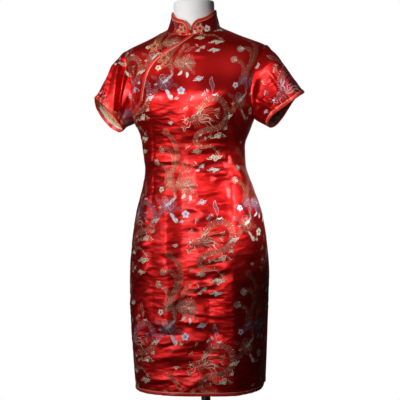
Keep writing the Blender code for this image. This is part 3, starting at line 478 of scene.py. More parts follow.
YOKE_CREASES = Crease.table(
    (-150, 1325, -110, 1270, 8, 2.2), (-152, 1345, -118, 1300, 7, -1.8), (-140, 1262, -128, 1228, 7, 1.8),
)
# A sleeve's x and width are angles round from the shoulder, z is the share of the way down, out is in metres.
RIGHT_SLEEVE_CREASES = Crease.table(
    (0.62, -0.05, 1.95, 0.72, 0.18, -0.021), (0.36, 0.15, 1.1, 0.95, 0.11, 0.007, PRESSED),
    (0.98, -0.05, 2.2, 0.8, 0.13, 0.0095, PRESSED), (1.86, 0.05, 2.5, 0.9, 0.12, -0.008),
    (0.2, 0.3, 0.7, 1.05, 0.1, -0.005), (4.6, 0.1, 4.3, 1, 0.2, -0.005), (5.3, 0.1, 5.5, 1, 0.2, 0.004),
    (4.05, 0.2, 3.85, 1, 0.14, 0.0034),
)
LEFT_SLEEVE_CREASES = Crease.table(
    (0.8, 0.02, 0.9, 1, 0.42, 0.016), (1.7, 0.05, 1.85, 1, 0.36, -0.012),
    (1.12, 0.25, 1.34, 1.05, 0.07, 0.006, PRESSED), (2.05, 0.15, 1.96, 1.05, 0.1, 0.007, PRESSED),
    (0.3, 0.25, 0.45, 1, 0.11, -0.005), (4.5, 0.1, 4.2, 1, 0.2, -0.005), (5.2, 0.1, 5.4, 1, 0.2, 0.004),
)


# ---- making objects ----
def quads(rows: int, columns: int, ring: bool = False, closed: bool = False) -> Array:
    """The cells of a grid of numbered points, anticlockwise where columns run to the right.

    Args:
        rows: How many rows of points.
        columns: How many points in each.
        ring: Whether each row closes on itself.
        closed: Whether the last row meets the first.

    Returns:
        (cells, 4) point numbers.
    """
    index = np.arange(rows * columns).reshape(rows, columns)
    if ring:
        index = np.hstack([index, index[:, :1]])
    if closed:
        index = np.vstack([index, index[:1]])
    corners = (index[:-1, :-1], index[:-1, 1:], index[1:, 1:], index[1:, :-1])
    return np.stack([corner.ravel() for corner in corners], axis=-1)


@dataclass
class Grid:
    """A grid of points on a cloth piece: its outer face, the normals there, and its flat chart."""

    points: Array
    normals: Array
    chart: Array
    wrap: bool = False

    @classmethod
    def of(cls, points: Array, chart: Array, wrap: bool = False) -> "Grid":
        """Builds a grid and its normals: the cross product of the steps along its columns and rows.

        Args:
            points: (rows, columns, 3) points.
            chart: (rows, columns, 2) places on the flat cloth, in metres.
            wrap: Whether the columns close into a ring.

        Returns:
            The grid, whose normals point out where columns run to the wearer's left in front.
        """
        along = np.gradient(points, axis=1)
        if wrap:
            along = np.roll(points, -1, axis=1) - np.roll(points, 1, axis=1)
        return cls(points, unit(np.cross(along, np.gradient(points, axis=0))), chart, wrap)

    def facet(self, row: Array, column: Array, lift: float | Array) -> Array:
        """Points on the grid's own facets, moved out along the normals.

        Args:
            row: Place of each point among the rows.
            column: Place of it among the columns.
            lift: How far out from the cloth.

        Returns:
            (n, 3) points, blended between the four corners of each point's cell.
        """
        rows, columns = self.points.shape[:2]
        low, near = np.clip(row.astype(int), 0, rows - 2), np.floor(column).astype(int)
        if not self.wrap:
            near = np.clip(near, 0, columns - 2)
        s, t = (column - near)[:, None], (row - low)[:, None]
        near, after = near % columns, (near + 1) % columns
        corners = ((low, near, (1 - s) * (1 - t)), (low, after, s * (1 - t)),
                   (low + 1, near, (1 - s) * t), (low + 1, after, s * t))
        at, out = (sum(values[i, j] * share for i, j, share in corners)
                   for values in (self.points, self.normals))
        return at + unit(out) * np.asarray(lift)[..., None]

    def cells(self) -> Array:
        """The four corners of every cell, anticlockwise from outside."""
        return quads(*self.points.shape[:2], ring=self.wrap)

    def corner_chart(self) -> Array:
        """Works out the UV map, where the cells that close a ring run on past its start.

        Returns:
            (cells, 4, 2) chart places of every cell's corners.
        """
        corners = self.chart.reshape(-1, 2)[self.cells()]
        if self.wrap:
            across = corners[..., 0]
            period = across.max() * self.points.shape[1] / (self.points.shape[1] - 1)
            across[across < across.max(1, keepdims=True) - period / 2] += period
        return corners


def mesh_object(name: str, mesh_data: Mesh, materials: Sequence[Material],
                chart: Array | None = None, kinds: Array | None = None) -> Object:
    """A smooth-shaded mesh object.

    Args:
        name: Name of the object and its mesh.
        mesh_data: (n, 3) points in the shared frame, and rows of point numbers.
        materials: The material slots.
        chart: (faces, 4, 2) chart places of the faces' corners, kept as the UV map.
        kinds: Slot number of each face.

    Returns:
        The object, linked to the scene.
    """
    points, faces = mesh_data
    mesh = bpy.data.meshes.new(name)
    mesh.from_pydata(points.tolist(), [], faces.tolist() if isinstance(faces, np.ndarray) else faces)
    for finish in materials:
        mesh.materials.append(finish)
    if kinds is not None:
        mesh.polygons.foreach_set("material_index", np.asarray(kinds, np.int32))
    if chart is not None:
        mesh.uv_layers.new(name="chart").uv.foreach_set("vector", chart.astype(np.float32).ravel())
    mesh.shade_smooth()
    mesh.update()
    obj = bpy.data.objects.new(name, mesh)
    bpy.context.scene.collection.objects.link(obj)
    return obj


def place(obj: Object, slot: str, *replaced: str) -> Object:
    """Makes a finished piece ride on the one body.

    Args:
        obj: The piece.
        slot: Not used.
        replaced: The CAD nodes that it stands for.

    Returns:
        The piece.
    """
    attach(obj, BODY)
    if replaced:
        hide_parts(*replaced)
    log.info("%s: %d faces", obj.name, len(obj.data.polygons))
    return obj


def tube(path: Array, radius: float, sides: int = 8, closed: bool = False) -> Mesh:
    """A round cord along a path.

    Each ring's frame is the last one's, projected square to the path, so the cord doesn't twist.

    Args:
        path: (n, 3) points of its centreline.
        radius: Its radius.
        sides: Points round it.
        closed: Whether its end joins its start.

    Returns:
        Its points and its four-sided faces; open ends are drawn in to a rounded tip.
    """
    along = unit(np.gradient(path, axis=0))
    if closed:
        along = unit(np.roll(path, -1, axis=0) - np.roll(path, 1, axis=0))
    side = np.empty_like(path)
    guess = np.cross(along[0], [0.3, 0.2, 0.93])
    for k, way in enumerate(along):
        guess = guess - way * (guess @ way)
        guess = guess / np.linalg.norm(guess)
        side[k] = guess
    turn = ring_angles(sides)[None, :, None]
    ring = side[:, None] * np.cos(turn) + np.cross(along, side)[:, None] * np.sin(turn)
    points = path[:, None] + ring * radius
    if not closed:
        first = path[0] - along[0] * radius + (points[0] - path[0]) * 0.25
        last = path[-1] + along[-1] * radius + (points[-1] - path[-1]) * 0.25
        points = np.concatenate([first[None], points, last[None]])
    return points.reshape(-1, 3), quads(len(points), sides, ring=True, closed=closed)


def joined(parts: Iterable[Mesh]) -> Mesh:
    """Several meshes as one.

    Args:
        parts: Points and faces of each.

    Returns:
        All points and faces.
    """
    points, faces, offset = [], [], 0
    for some, rows in parts:
        points.append(some)
        faces.append(rows + offset)
        offset += len(some)
    return np.concatenate(points), np.concatenate(faces)


# ---- cloth pieces ----
HEIGHT_KNOTS, CLOTH_KNOTS = (0.4, 1.3, 1.356, 1.43), (0.4, 1.3, 1.3644, 1.4828)


def stretch(height: Array) -> Array:
    """Cloth height v for a height above the ground: the slope of the shoulders takes more cloth."""
    return np.interp(height, HEIGHT_KNOTS, CLOTH_KNOTS)


@dataclass
class Panel:
    """A cloth piece whose rows are level, from one edge to the other at each height."""

    grid: Grid
    heights: Array
    left: Array
    right: Array

    def on(self, u: Array, v: Array, lift: float | Array) -> tuple[Array, Array]:
        """Places chart points on the panel's own facets.

        Args:
            u: Places along the level sections.
            v: Cloth heights.
            lift: How far out from the cloth.

        Returns:
            (n, 3) points, and whether each lies inside the panel's edges.
        """
        height = np.interp(v, CLOTH_KNOTS, HEIGHT_KNOTS)
        left, right = (np.interp(height, self.heights, edge) for edge in (self.left, self.right))
        share = (u - left) / np.maximum(right - left, 1e-6)
        inside = (share >= 0) & (share <= 1) & (height > self.heights[0]) & (height < self.heights[-1])
        rows, columns = self.grid.points.shape[:2]
        row = np.interp(height, self.heights, np.arange(rows))
        return self.grid.facet(row, np.clip(share, 0, 1) * (columns - 1), lift), inside

    def cut(self) -> Triple:
        """The flat piece's greatest width, its length and its area."""
        v = stretch(self.heights)
        return self.right.max() - self.left.min(), v[-1] - v[0], under_line(v, self.right - self.left)


Edge = Callable[[Array], Array]
FAN = 541


@dataclass
class PanelMaker:
    """Builds front, yoke and back from their edges' angles, with their creases and small wrinkles."""

    figure: Figure
    front: bool
    creases: tuple[Crease, ...]
    seed: int
    wrinkle: float = 0.0008
    coarse: Pair = (0.036, 0.014)
    fine: Pair = (0.015, 0.0065)
    slow: Pair = (0.075, 0.034)
    bend: Pair = (0.1, 0.08)
    free_room: float = 0.0065
    hem: float = 0.49
    slit_open: float = 0.008
    corner: Pair = (0.044, 0.022)

    def turn(self, angle: Array) -> Array:
        """Angles of the front as they are, and those of the back mirrored to their own side."""
        return angle if self.front else -angle

    def hem_rows(self) -> Array:
        """Heights over the hem's rounded corners, closest at the hem."""
        return self.hem + self.corner[1] * (np.arange(13) / 12) ** 2

    def lifted(self, angle: Array, height: Array, u: Array, lift: Array) -> Array:
        """Outer points: the figure, raised by the creases, the small wrinkles and the given lift.

        The wrinkles are a coarse and a fine crumple, drawn out along the level and bent by noise, and
        a slow swell. Their cells are sizes across and up the cloth. They are deepest below the bust
        and faint over the smooth chest, and all relief dies out at the sides. A trough of depth d is
        let down to c tanh(d / c), where c is the room over the form, or the free room below it.

        Args:
            angle: Angle round the body.
            height: Height above the ground.
            u: Place along the level section.
            lift: How far the piece lies above the figure.

        Returns:
            Points of the outer face.
        """
        angle = self.turn(angle)
        points, normals = self.figure.point(angle, height), self.figure.normal(angle, height)
        side = smoothstep(np.abs(np.sin(angle)) * 3.0)
        noise, crumple = Noise(self.seed), Crumple(self.seed)
        (bend_u, bend_v), (coarse_u, coarse_v), (fine_u, fine_v), (slow_u, slow_v) = (
            (u / across, height / up) for across, up in (self.bend, self.coarse, self.fine, self.slow))
        bend = 2.0 * noise(bend_u + 3.1, bend_v)
        fine = 2.2 * crumple(coarse_u + 0.4 * bend, coarse_v + bend)
        fine = fine + 0.9 * crumple(fine_u, fine_v + 2 * bend)
        fine = fine + 1.7 * noise(slow_u + 11.3, slow_v + 5.2)
        calm = 0.22 + 0.78 * smoothstep((BUST_TOP - height) / 0.05)
        raised = (relief(points[..., 0], height, self.creases) + self.wrinkle * fine * calm) * side
        deepest = smooth_interp(height, FORM_LEVELS, FORM_CLEAR) - CLOTH - 0.0008
        deepest = np.where(height < FORM_BOTTOM, self.free_room, deepest)
        raised = np.where(raised < 0, deepest * np.tanh(raised / deepest), raised)
        return points + normals * (raised + lift)[..., None]

    def build(self, heights: Array, start: Edge, end: Edge, columns: int, margin: bool = True,
              lift: Callable[[Array], Array] | None = None) -> Panel:
        """Builds one panel, its columns even along each level section.

        Args:
            heights: Heights of its rows.
            start: Angle of its edge nearer the wearer's right, by height.
            end: Angle of its edge nearer the wearer's left, by height.
            columns: How many points lie along each row.
            margin: Whether it goes down to the hem, with its rounded corners and the slits' openings.
            lift: How far it lies above the figure at (rows, columns, 3) points.

        Returns:
            The panel.
        """
        if margin:
            heights = np.unique(np.concatenate([self.hem_rows(), heights]).round(6))
        fan, middle = np.linspace(0, HALF_TURN, FAN), FAN // 2
        line = self.figure.point(self.turn(fan)[None, :], heights[:, None])
        walked = np.array([walk(row) for row in line])
        walked -= walked[:, middle:middle + 1]
        low, high = (np.array([np.interp(edge(h), fan, walked[k]) for k, h in enumerate(heights)])
                     for edge in (start, end))
        if margin:
            opening = self.slit_open / 2 * smoothstep((SLIT_TOP - heights) / (SLIT_TOP - self.hem))
            rise = np.clip((heights - self.hem) / self.corner[1], 0, 1)
            inset = opening + self.corner[0] * (1 - np.sqrt(np.clip(1 - (1 - rise) ** 2, 0, None)))
            low, high = low + inset, high - inset
        high = np.maximum(high, low + 0.0004)
        share = np.linspace(0, 1, columns)[None, :]
        u = low[:, None] * (1 - share) + high[:, None] * share
        angle = np.array([np.interp(u[k], walked[k], fan) for k in range(len(heights))])
        height = np.broadcast_to(heights[:, None], u.shape)
        above = np.zeros_like(u) if lift is None else lift(self.figure.point(self.turn(angle), height))
        points = self.lifted(angle, height, u, above)
        if not self.front:
            u, points, low, high = -u[:, ::-1], points[:, ::-1], -high, -low
        return Panel(Grid.of(points, np.stack([u, stretch(height)], axis=-1)), heights, low, high)


@dataclass
class Slant:
    """The slanted opening: its edge from the armhole up to the front of the neck, as (x, height)."""

    figure: Figure
    foot: float = 1.208
    overlap: float = 0.012
    raised: float = 0.0027
    stations: tuple[Pair, ...] = (
        (-0.134, 1.217), (-0.124, 1.23), (-0.12, 1.248), (-0.1175, 1.275), (-0.109, 1.305),
        (-0.0914, 1.331), (-0.0654, 1.352), (-0.0286, 1.37), (0.0, 1.39),
    )

    def line(self, count: int = 160, offset: float = 0.0) -> Array:
        """The edge from its foot up, through the stations.

        Args:
            count: How many points.
            offset: How far it is moved towards the front's side.

        Returns:
            (count, 2) points of x and height.
        """
        reach = self.figure.armhole(self.foot, self.figure.armhole_front)
        knots = np.array([(self.figure.point(reach, self.foot)[0], self.foot), *self.stations])
        walked = walk(knots)
        dense = np.linspace(0, walked[-1], 12 * len(knots))
        curve = np.column_stack([smooth_interp(dense, walked, column) for column in knots.T])
        line = even_steps(curve, count)
        return line - offset * left_of(line)

    def angle_at(self, height: Array, offset: float = 0.0) -> Array:
        """The edge's angle at a height."""
        line = self.line(offset=offset)
        return self.figure.angle_of(np.interp(height, line[:, 1], line[:, 0]), height)

    def lift(self, points: Array) -> Array:
        """How far the front is raised over the yoke: fully within twice the overlap, gone at five times.

        Args:
            points: Points of the figure, with the last axis for x, y and z.

        Returns:
            The lift of each.
        """
        line = self.line(60)
        edge = self.figure.point(self.figure.angle_of(line[:, 0], line[:, 1]), line[:, 1])
        apart = np.min([np.linalg.norm(points - spot, axis=-1) for spot in edge], axis=0)
        return self.raised * smoothstep((5 * self.overlap - apart) / (3 * self.overlap))


@dataclass(frozen=True)
class Cuff:
    """Where a sleeve's opening is: its outer top, its inner foot, and how it hangs."""

    top_x: float
    top_z: float
    foot_x: float
    foot_z: float
    front_in: float
    back_out: float
    sag: float
    twist: float
    half_depth: float = 0.058
    y: float = 0.008

    def loop(self, around: Array) -> tuple[Array, Array]:
        """The cuff's edge, an ellipse from its outer top to its inner foot.

        Args:
            around: Angles round it, from the top over the front.

        Returns:
            Points of the edge, and the way that the cuff faces.
        """
        top = np.array([-self.top_x, self.y, self.top_z])
        foot = np.array([-self.foot_x, self.y * 0.2, self.foot_z])
        centre, half = (top + foot) / 2, (top - foot) / 2
        out = unit(np.array([-half[2], 0.0, half[0]]))
        cosine, sine = np.cos(around)[:, None], np.sin(around)[:, None]
        loop = centre + half * cosine
        loop = loop - np.array([0.0, self.half_depth, 0.0]) * np.sign(sine) * np.abs(sine) ** 0.9
        swing = np.where(sine > 0, -self.front_in * sine, -self.back_out * sine)
        return loop + out * (swing + 2 * self.twist * sine * cosine), out


RIGHT_CUFF = Cuff(0.275, 1.246, 0.199, 1.163, 0.016, 0.031, 0.0, 0.0)
LEFT_CUFF = Cuff(0.277, 1.242, 0.188, 1.156, 0.006, -0.004, 0.006, 0.007)


@dataclass
class Sleeve:
    """A cap sleeve, carried on smooth paths from the armhole to the cuff."""

    figure: Figure
    left: bool
    cuff: Cuff
    creases: tuple[Crease, ...]
    seed: int
    columns: int = 168
    rows: int = 44
    leaves_tip: Triple = (-0.88, 0.0, -0.47)
    leaves_underarm: Triple = (-0.93, 0.0, -0.36)
    girth: float = TURN * 0.069
    forward: Triple = (0.0, 0.35, 0.0)
    left_lean: Triple = (0.1, 0.0, -0.16)
    cuff_droop: Triple = (0.0, 0.0, -0.15)
    wrinkle: float = 0.00045
    peak: float = 0.0035

    def seam(self, around: Array) -> tuple[Array, Array]:
        """The armhole, drawn for the right side.

        Args:
            around: Angles round it, from the shoulder tip over the front.

        Returns:
            Points of the armhole and its outward normals.
        """
        heights = (UNDERARM + SHOULDER_TIP) / 2 + (SHOULDER_TIP - UNDERARM) / 2 * np.cos(around)
        sine = np.sin(around)
        angle = np.where(sine > 0, self.figure.armhole_front, self.figure.armhole_back) * sine
        mirror = np.array([-1.0 if self.left else 1.0, 1.0, 1.0])
        if self.left:
            angle = np.where(angle >= 0, HALF_TURN, -HALF_TURN) - angle
        return self.figure.point(angle, heights) * mirror, self.figure.normal(angle, heights) * mirror

    def build(self) -> "Sleeve":
        """Builds the sleeve's grid, from the cuff's edge up to the armhole, closed into a ring.

        Each line down the sleeve is a cubic between the armhole and the cuff, with the directions in
        which it leaves and arrives, and a sag under the arm. Its folds are bells round the sleeve.

        Returns:
            The sleeve itself.
        """
        around = ring_angles(self.columns)
        start, seam_normal = self.seam(around)
        end, cuff_out = self.cuff.loop(around)
        reach = np.linalg.norm(end - start, axis=1)[:, None]
        top = (0.5 + 0.5 * np.cos(around))[:, None]
        leave = unit(top * self.leaves_tip + (1 - top) * self.leaves_underarm)
        leave = unit(leave + seam_normal * self.forward)
        if self.left:
            leave = unit(leave + top**3 * self.left_lean)
        arrive = unit(cuff_out + self.cuff_droop)
        down = np.broadcast_to(np.linspace(1, 0, self.rows)[:, None], (self.rows, self.columns))
        s = down[..., None]
        sag = np.array([0.0, 0.0, -self.cuff.sag]) * (1 - top) ** 2
        points = cubic(s, start, end, reach * leave, reach * arrive) + 4 * s * (1 - s) * sag
        reach = reach[:, 0]
        across = np.broadcast_to(around / TURN * self.girth, down.shape)
        chart = np.stack([across, (1 - down) * reach[None, :]], axis=-1)
        share = 0.5 + 0.5 * smoothstep(down / 0.25)[..., None]
        normals = unit(seam_normal * (1 - share) + Grid.of(points, chart, wrap=True).normals * share)
        points = points + normals * self.relief(around[None, :], down)[..., None]
        if self.left:
            points, chart, reach = (points * (-1, 1, 1))[:, ::-1], chart[:, ::-1] * (-1, 1), reach[::-1]
            chart[..., 0] -= chart[:, :1, 0]
        self.grid = Grid.of(points, chart, wrap=True)
        self.reach = np.append(reach, reach[0])
        return self

    def relief(self, around: Array, down: Array) -> Array:
        """The folds' bells, which grow from the seam, the peak at it, and small wrinkles.

        Args:
            around: Angles round the sleeve, from the shoulder.
            down: Shares of the way down to the cuff.

        Returns:
            How far the cloth is raised.
        """
        raised = np.zeros(down.shape)
        for fold in self.creases:
            share = (down - fold.z0) / (fold.z1 - fold.z0)
            middle = fold.x0 + (fold.x1 - fold.x0) * share
            near = (around - middle + math.pi) % TURN - math.pi
            rise = smoothstep((down - fold.z0) / 0.2) * smoothstep((fold.z1 + 0.35 - down) / 0.35)
            raised += fold.out * rise * fold.form.across(near / fold.width)
        noise, turn = Noise(self.seed), np.abs(around - math.pi)
        raised += self.peak * np.exp(-(((math.pi - turn) / 0.45) ** 2) - ((down - 0.05) / 0.07) ** 2)
        fine = noise(turn * 2.9, down * 6) + 0.5 * noise(turn * 6.4, down * 13)
        return raised + self.wrinkle * fine * smoothstep(down / 0.1)

    def cut(self) -> Triple:
        """The flat sleeve's girth, its length and its area."""
        return self.girth, self.reach.max(), self.girth * self.reach[:-1].mean()

    def on(self, u: Array, v: Array, lift: float | Array) -> tuple[Array, Array]:
        """Places chart points on the sleeve's own facets, as Panel.on does."""
        column = u / self.girth * self.columns
        share = v / np.interp(column % self.columns, np.arange(self.columns + 1), self.reach)
        inside = (share >= 0) & (share <= 1)
        return self.grid.facet(np.clip(share, 0, 1) * (self.rows - 1), column, lift), inside


@dataclass
class Collar:
    """The stand collar: a band from the neck seam with rounded front ends, open at the throat."""

    figure: Figure
    height: float = 0.04
    top: Pair = (0.056, 0.058)
    seam: float = 0.0009
    end: Pair = (0.028, 0.032)
    hooked: float = 0.008
    crowding: float = 0.55
    columns: int = 190
    rows: int = 15

    def surface(self, angle: Array, rise: Array) -> Array:
        """Outer points: from the neck seam the band draws in to a rounder, smaller ring at the top.

        Args:
            angle: Angles round the neck.
            rise: Heights above the seam.

        Returns:
            Points, with the last axis for x, y and z.
        """
        base = self.figure.point(angle, self.figure.neckline(angle)) + np.array([0.0, 0.0, self.seam])
        plan, share = base[..., :2], (rise / self.height)[..., None]
        at = plan * (1 - share) + unit(plan / self.top) * self.top * share
        return np.concatenate([at, (base[..., 2] + rise)[..., None]], axis=-1)

    def build(self) -> "Collar":
        """Builds the band's grid: columns from one front end round the neck to the other.

        The columns are closest at the ends, whose upper edge is a quarter of an ellipse.

        Returns:
            The collar itself.
        """
        dense = np.linspace(HALF_TURN / 2, -HALF_TURN * 1.5, 1081)
        walked = walk(self.figure.point(dense, self.figure.neckline(dense)))
        self.total = walked[-1] - 2 * SEAM_GAP
        even = np.linspace(0, 1, self.columns)
        distance = self.total * (even - self.crowding * np.sin(TURN * even) / TURN)
        angle = np.interp(distance + SEAM_GAP, walked, dense)
        from_end = np.minimum(distance, self.total - distance)
        reach = np.clip((self.end[0] - from_end) / self.end[0], 0, 1)
        high = self.hooked + self.end[1] * np.sqrt(1 - reach**2)
        rise = np.linspace(0, 1, self.rows)[:, None] * high[None, ::-1]
        self.distance, self.high = self.total - distance[::-1], high[::-1]
        points = self.surface(np.broadcast_to(angle[::-1], rise.shape), rise)
        self.grid = Grid.of(points, np.stack([np.broadcast_to(self.distance, rise.shape), rise], axis=-1))
        return self

    def cut(self) -> Triple:
        """The flat band's length, its height and its area."""
        return self.total, self.high.max(), under_line(self.distance, self.high)

    def on(self, u: Array, v: Array, lift: float | Array) -> tuple[Array, Array]:
        """Places chart points on the band's own facets, as Panel.on does."""
        share = v / np.interp(u, self.distance, self.high)
        inside = (share >= 0) & (share <= 1) & (u >= 0) & (u <= self.total)
        column = np.interp(u, self.distance, np.arange(self.columns))
        return self.grid.facet(np.clip(share, 0, 1) * (self.rows - 1), column, lift), inside


Cloth = Panel | Sleeve | Collar


# ---- bindings and piping ----
@dataclass
class Trim:
    """Satin tape folded over a cloth edge, with a fine cord along it."""

    width: float = TAPE_WIDTH
    proud: float = 0.0013
    cord: float = 0.00065
    across: tuple[float, ...] = (1.0, 0.94, 0.75, 0.5, 0.25, 0.06, 0.0)

    def beside(self, cloth: Cloth, path: Array, share: float, lift: float) -> Array:
        """Points of a cloth beside its edge.

        Args:
            cloth: What the edge belongs to.
            path: Chart path of the edge, with the cloth on its left.
            share: Distance from the edge, as a share of the tape's width.
            lift: How far out from the cloth.

        Returns:
            (n, 3) points.
        """
        line = path + self.width * share * left_of(path)
        return cloth.on(line[:, 0], line[:, 1], np.full(len(line), lift))[0]

    def tape(self, cloth: Cloth, path: Array, closed: bool = False) -> Mesh:
        """The tape as one tube of flat section, which holds the cloth's edge.

        Its section runs over the outer face from the inner edge to the cloth's edge, round it, and
        back under. It stands proud by the square root of the fourth-power arch 1 - (2s - 1)^4.

        Args:
            cloth: What it is sewn to.
            path: Chart path of the cloth's edge, with the cloth on its left.
            closed: Whether the path closes into a ring.

        Returns:
            Points and faces.
        """
        upper, lower = [], []
        for share in self.across:
            arch = self.proud * (1 - (2 * min(max(share, 0.03), 0.97) - 1) ** 4) ** 0.5
            upper.append(self.beside(cloth, path, share, 0.0003 + arch))
            lower.append(self.beside(cloth, path, share, -CLOTH - 0.7 * arch))
        edge = (upper[-1] + lower[-1]) / 2
        out = unit(edge - (upper[-3] + lower[-3]) / 2)
        section = np.stack([*upper, edge + out * 0.0009, *lower[::-1]], axis=1)
        count, sides = section.shape[:2]
        faces = quads(count, sides, ring=True, closed=closed).tolist()
        if not closed:
            faces += [list(range(sides))[::-1], list(range((count - 1) * sides, count * sides))]
        return section.reshape(-1, 3), faces

    def piping(self, cloth: Cloth, path: Array, share: float, closed: bool = False,
               lift: float = 0.0009) -> Mesh:
        """A fine round cord beside the tape, at a share of its width from the edge."""
        return tube(self.beside(cloth, path, share, lift), self.cord, 6, closed)


# ---- frog fastenings ----
@dataclass
class Frog:
    """A flower of looped cord: red satin cord with a fine bright cord inside it, and a small boss."""

    centre: Pair
    size: float
    turn: float
    place_on: Callable[[Array, Array, Array], Array]
    cord: float = 0.0014
    petals: int = 5

    def ring(self, around: Array, radius: Array | float, lift: float, thick: float, sides: int = 6) -> Mesh:
        """A closed cord round the middle.

        Args:
            around: Angles of its stations.
            radius: How far each is from the middle.
            lift: How far it is lifted off the cloth.
            thick: Radius of the cord.
            sides: Points round it.

        Returns:
            Points and faces.
        """
        x = self.centre[0] + radius * np.cos(around)
        y = self.centre[1] + radius * np.sin(around)
        return tube(self.place_on(x, y, np.full(len(around), lift)), thick, sides, closed=True)

    def flower(self, scale: float, lift: float, thick: float, sides: int = 6) -> Mesh:
        """A line of round petals: the radius swings in and out once for each petal."""
        around = ring_angles(150)
        radius = self.size * scale * (0.8 + 0.2 * np.cos(self.petals * around))
        return self.ring(around + self.turn, radius, lift, thick, sides)

    def cords(self) -> tuple[Mesh, Mesh]:
        """Lays the flower's outline, its boss, and a narrow bright loop inside each petal.

        Returns:
            The red cords and the bright ones.
        """
        low = self.cord + 0.0005
        red = [self.flower(1.0, low, self.cord, 8),
               self.ring(ring_angles(20), self.size * 0.2, 0.0024, 0.0012, 8)]
        bright = [self.flower(0.83, low + 0.0008, 0.00075), self.flower(1.17, low - 0.0003, 0.00065)]
        turn = ring_angles(26)
        along, side = self.size * 0.86 * (0.56 + 0.34 * np.cos(turn)), self.size * 0.13 * np.sin(turn)
        for k in range(self.petals):
            way = self.turn + TURN * k / self.petals + np.arctan2(side, along)
            bright.append(self.ring(way, np.hypot(along, side), 0.0013, 0.0007))
        return joined(red), joined(bright)


def knot_button(centre: Array, normal: Array, radius: float) -> Mesh:
    """A round button tied of cord: the cord winds over a ball as a closed curve of four lobes.

    The curve is the ball's point at angle 3t round and height swing sin(4t), so that its turns cross
    like a plait.

    Args:
        centre: Where it is sewn on.
        normal: The way it stands out.
        radius: Its size.

    Returns:
        Points and faces of the cord and of the ball inside it.
    """
    normal = unit(normal)
    side = unit(np.cross(normal, [0.1, 0.0, 1.0]))
    other, middle = np.cross(normal, side), centre + normal * radius

    def on_ball(turn: Array, tilt: Array) -> Array:
        """Points of the unit ball about the normal."""
        round_it = np.cos(turn)[..., None] * side + np.sin(turn)[..., None] * other
        return np.cos(tilt)[..., None] * round_it + np.sin(tilt)[..., None] * normal

    t = ring_angles(220)
    swell = 1 + 0.1 * np.sin(7 * t)[:, None]
    winding = middle + on_ball(3 * t, 0.95 * np.sin(4 * t)) * radius * 0.8 * swell
    cord = tube(winding, radius * 0.27, 7, closed=True)
    turn, tilt = np.meshgrid(ring_angles(24), np.linspace(-1.45, 1.45, 9))
    core = middle + on_ball(turn, tilt).reshape(-1, 3) * radius * 0.82
    return joined([cord, (core, quads(9, 24, ring=True))])


# ---- woven figures ----
class Weft(Enum):
    """The threads that figures are woven with, in the order of their material slots."""

    FILL = 0
    LINE = 1
    LIGHT = 2
    DARK = 3


FILL, LINE, LIGHT, DARK = Weft
LIFTS = {FILL: 0.00022, LINE: 0.00036, LIGHT: 0.00044, DARK: 0.00052}


def spline(points: Sequence, step: float) -> Array:
    """A smooth line through flat points: a Catmull-Rom curve.

    Args:
        points: What it passes through.
        step: The length of its steps, nearly.

    Returns:
        Its stations.
    """
    knots = np.asarray(points, float)
    padded = np.concatenate([2 * knots[:1] - knots[1:2], knots, 2 * knots[-1:] - knots[-2:-1]])
    t = np.linspace(0, 1, 9)[:-1, None]
    fine = [0.5 * (2 * b + (c - a) * t + (2 * a - 5 * b + 4 * c - d) * t**2 + (3 * b - a - 3 * c + d) * t**3)
            for a, b, c, d in zip(padded, padded[1:], padded[2:], padded[3:])]
    fine = np.concatenate([*fine, knots[-1:]])
    return even_steps(fine, max(3, round(walk(fine)[-1] / step) + 1))


def circle(x: float, y: float, across: float, up: float | None = None, start: float = 0.0,
           turns: float = 1.0, steps: int = 13, inner: float = 1.0) -> Array:
    """Stations of an ellipse, an arc of one, or a spiral.

    Args:
        x: Its middle across.
        y: Its middle up.
        across: Half its width.
        up: Half its height, where that isn't the same.
        start: Angle of the first station.
        turns: How many turns it makes, negative for clockwise.
        steps: How many stations.
        inner: The share of its radius that it ends at.

    Returns:
        (steps, 2) points.
    """
    t = np.linspace(0, 1, steps)
    way, reach = start + TURN * turns * t, 1 + (inner - 1) * t
    return np.column_stack([x + across * reach * np.cos(way), y + (up or across) * reach * np.sin(way)])


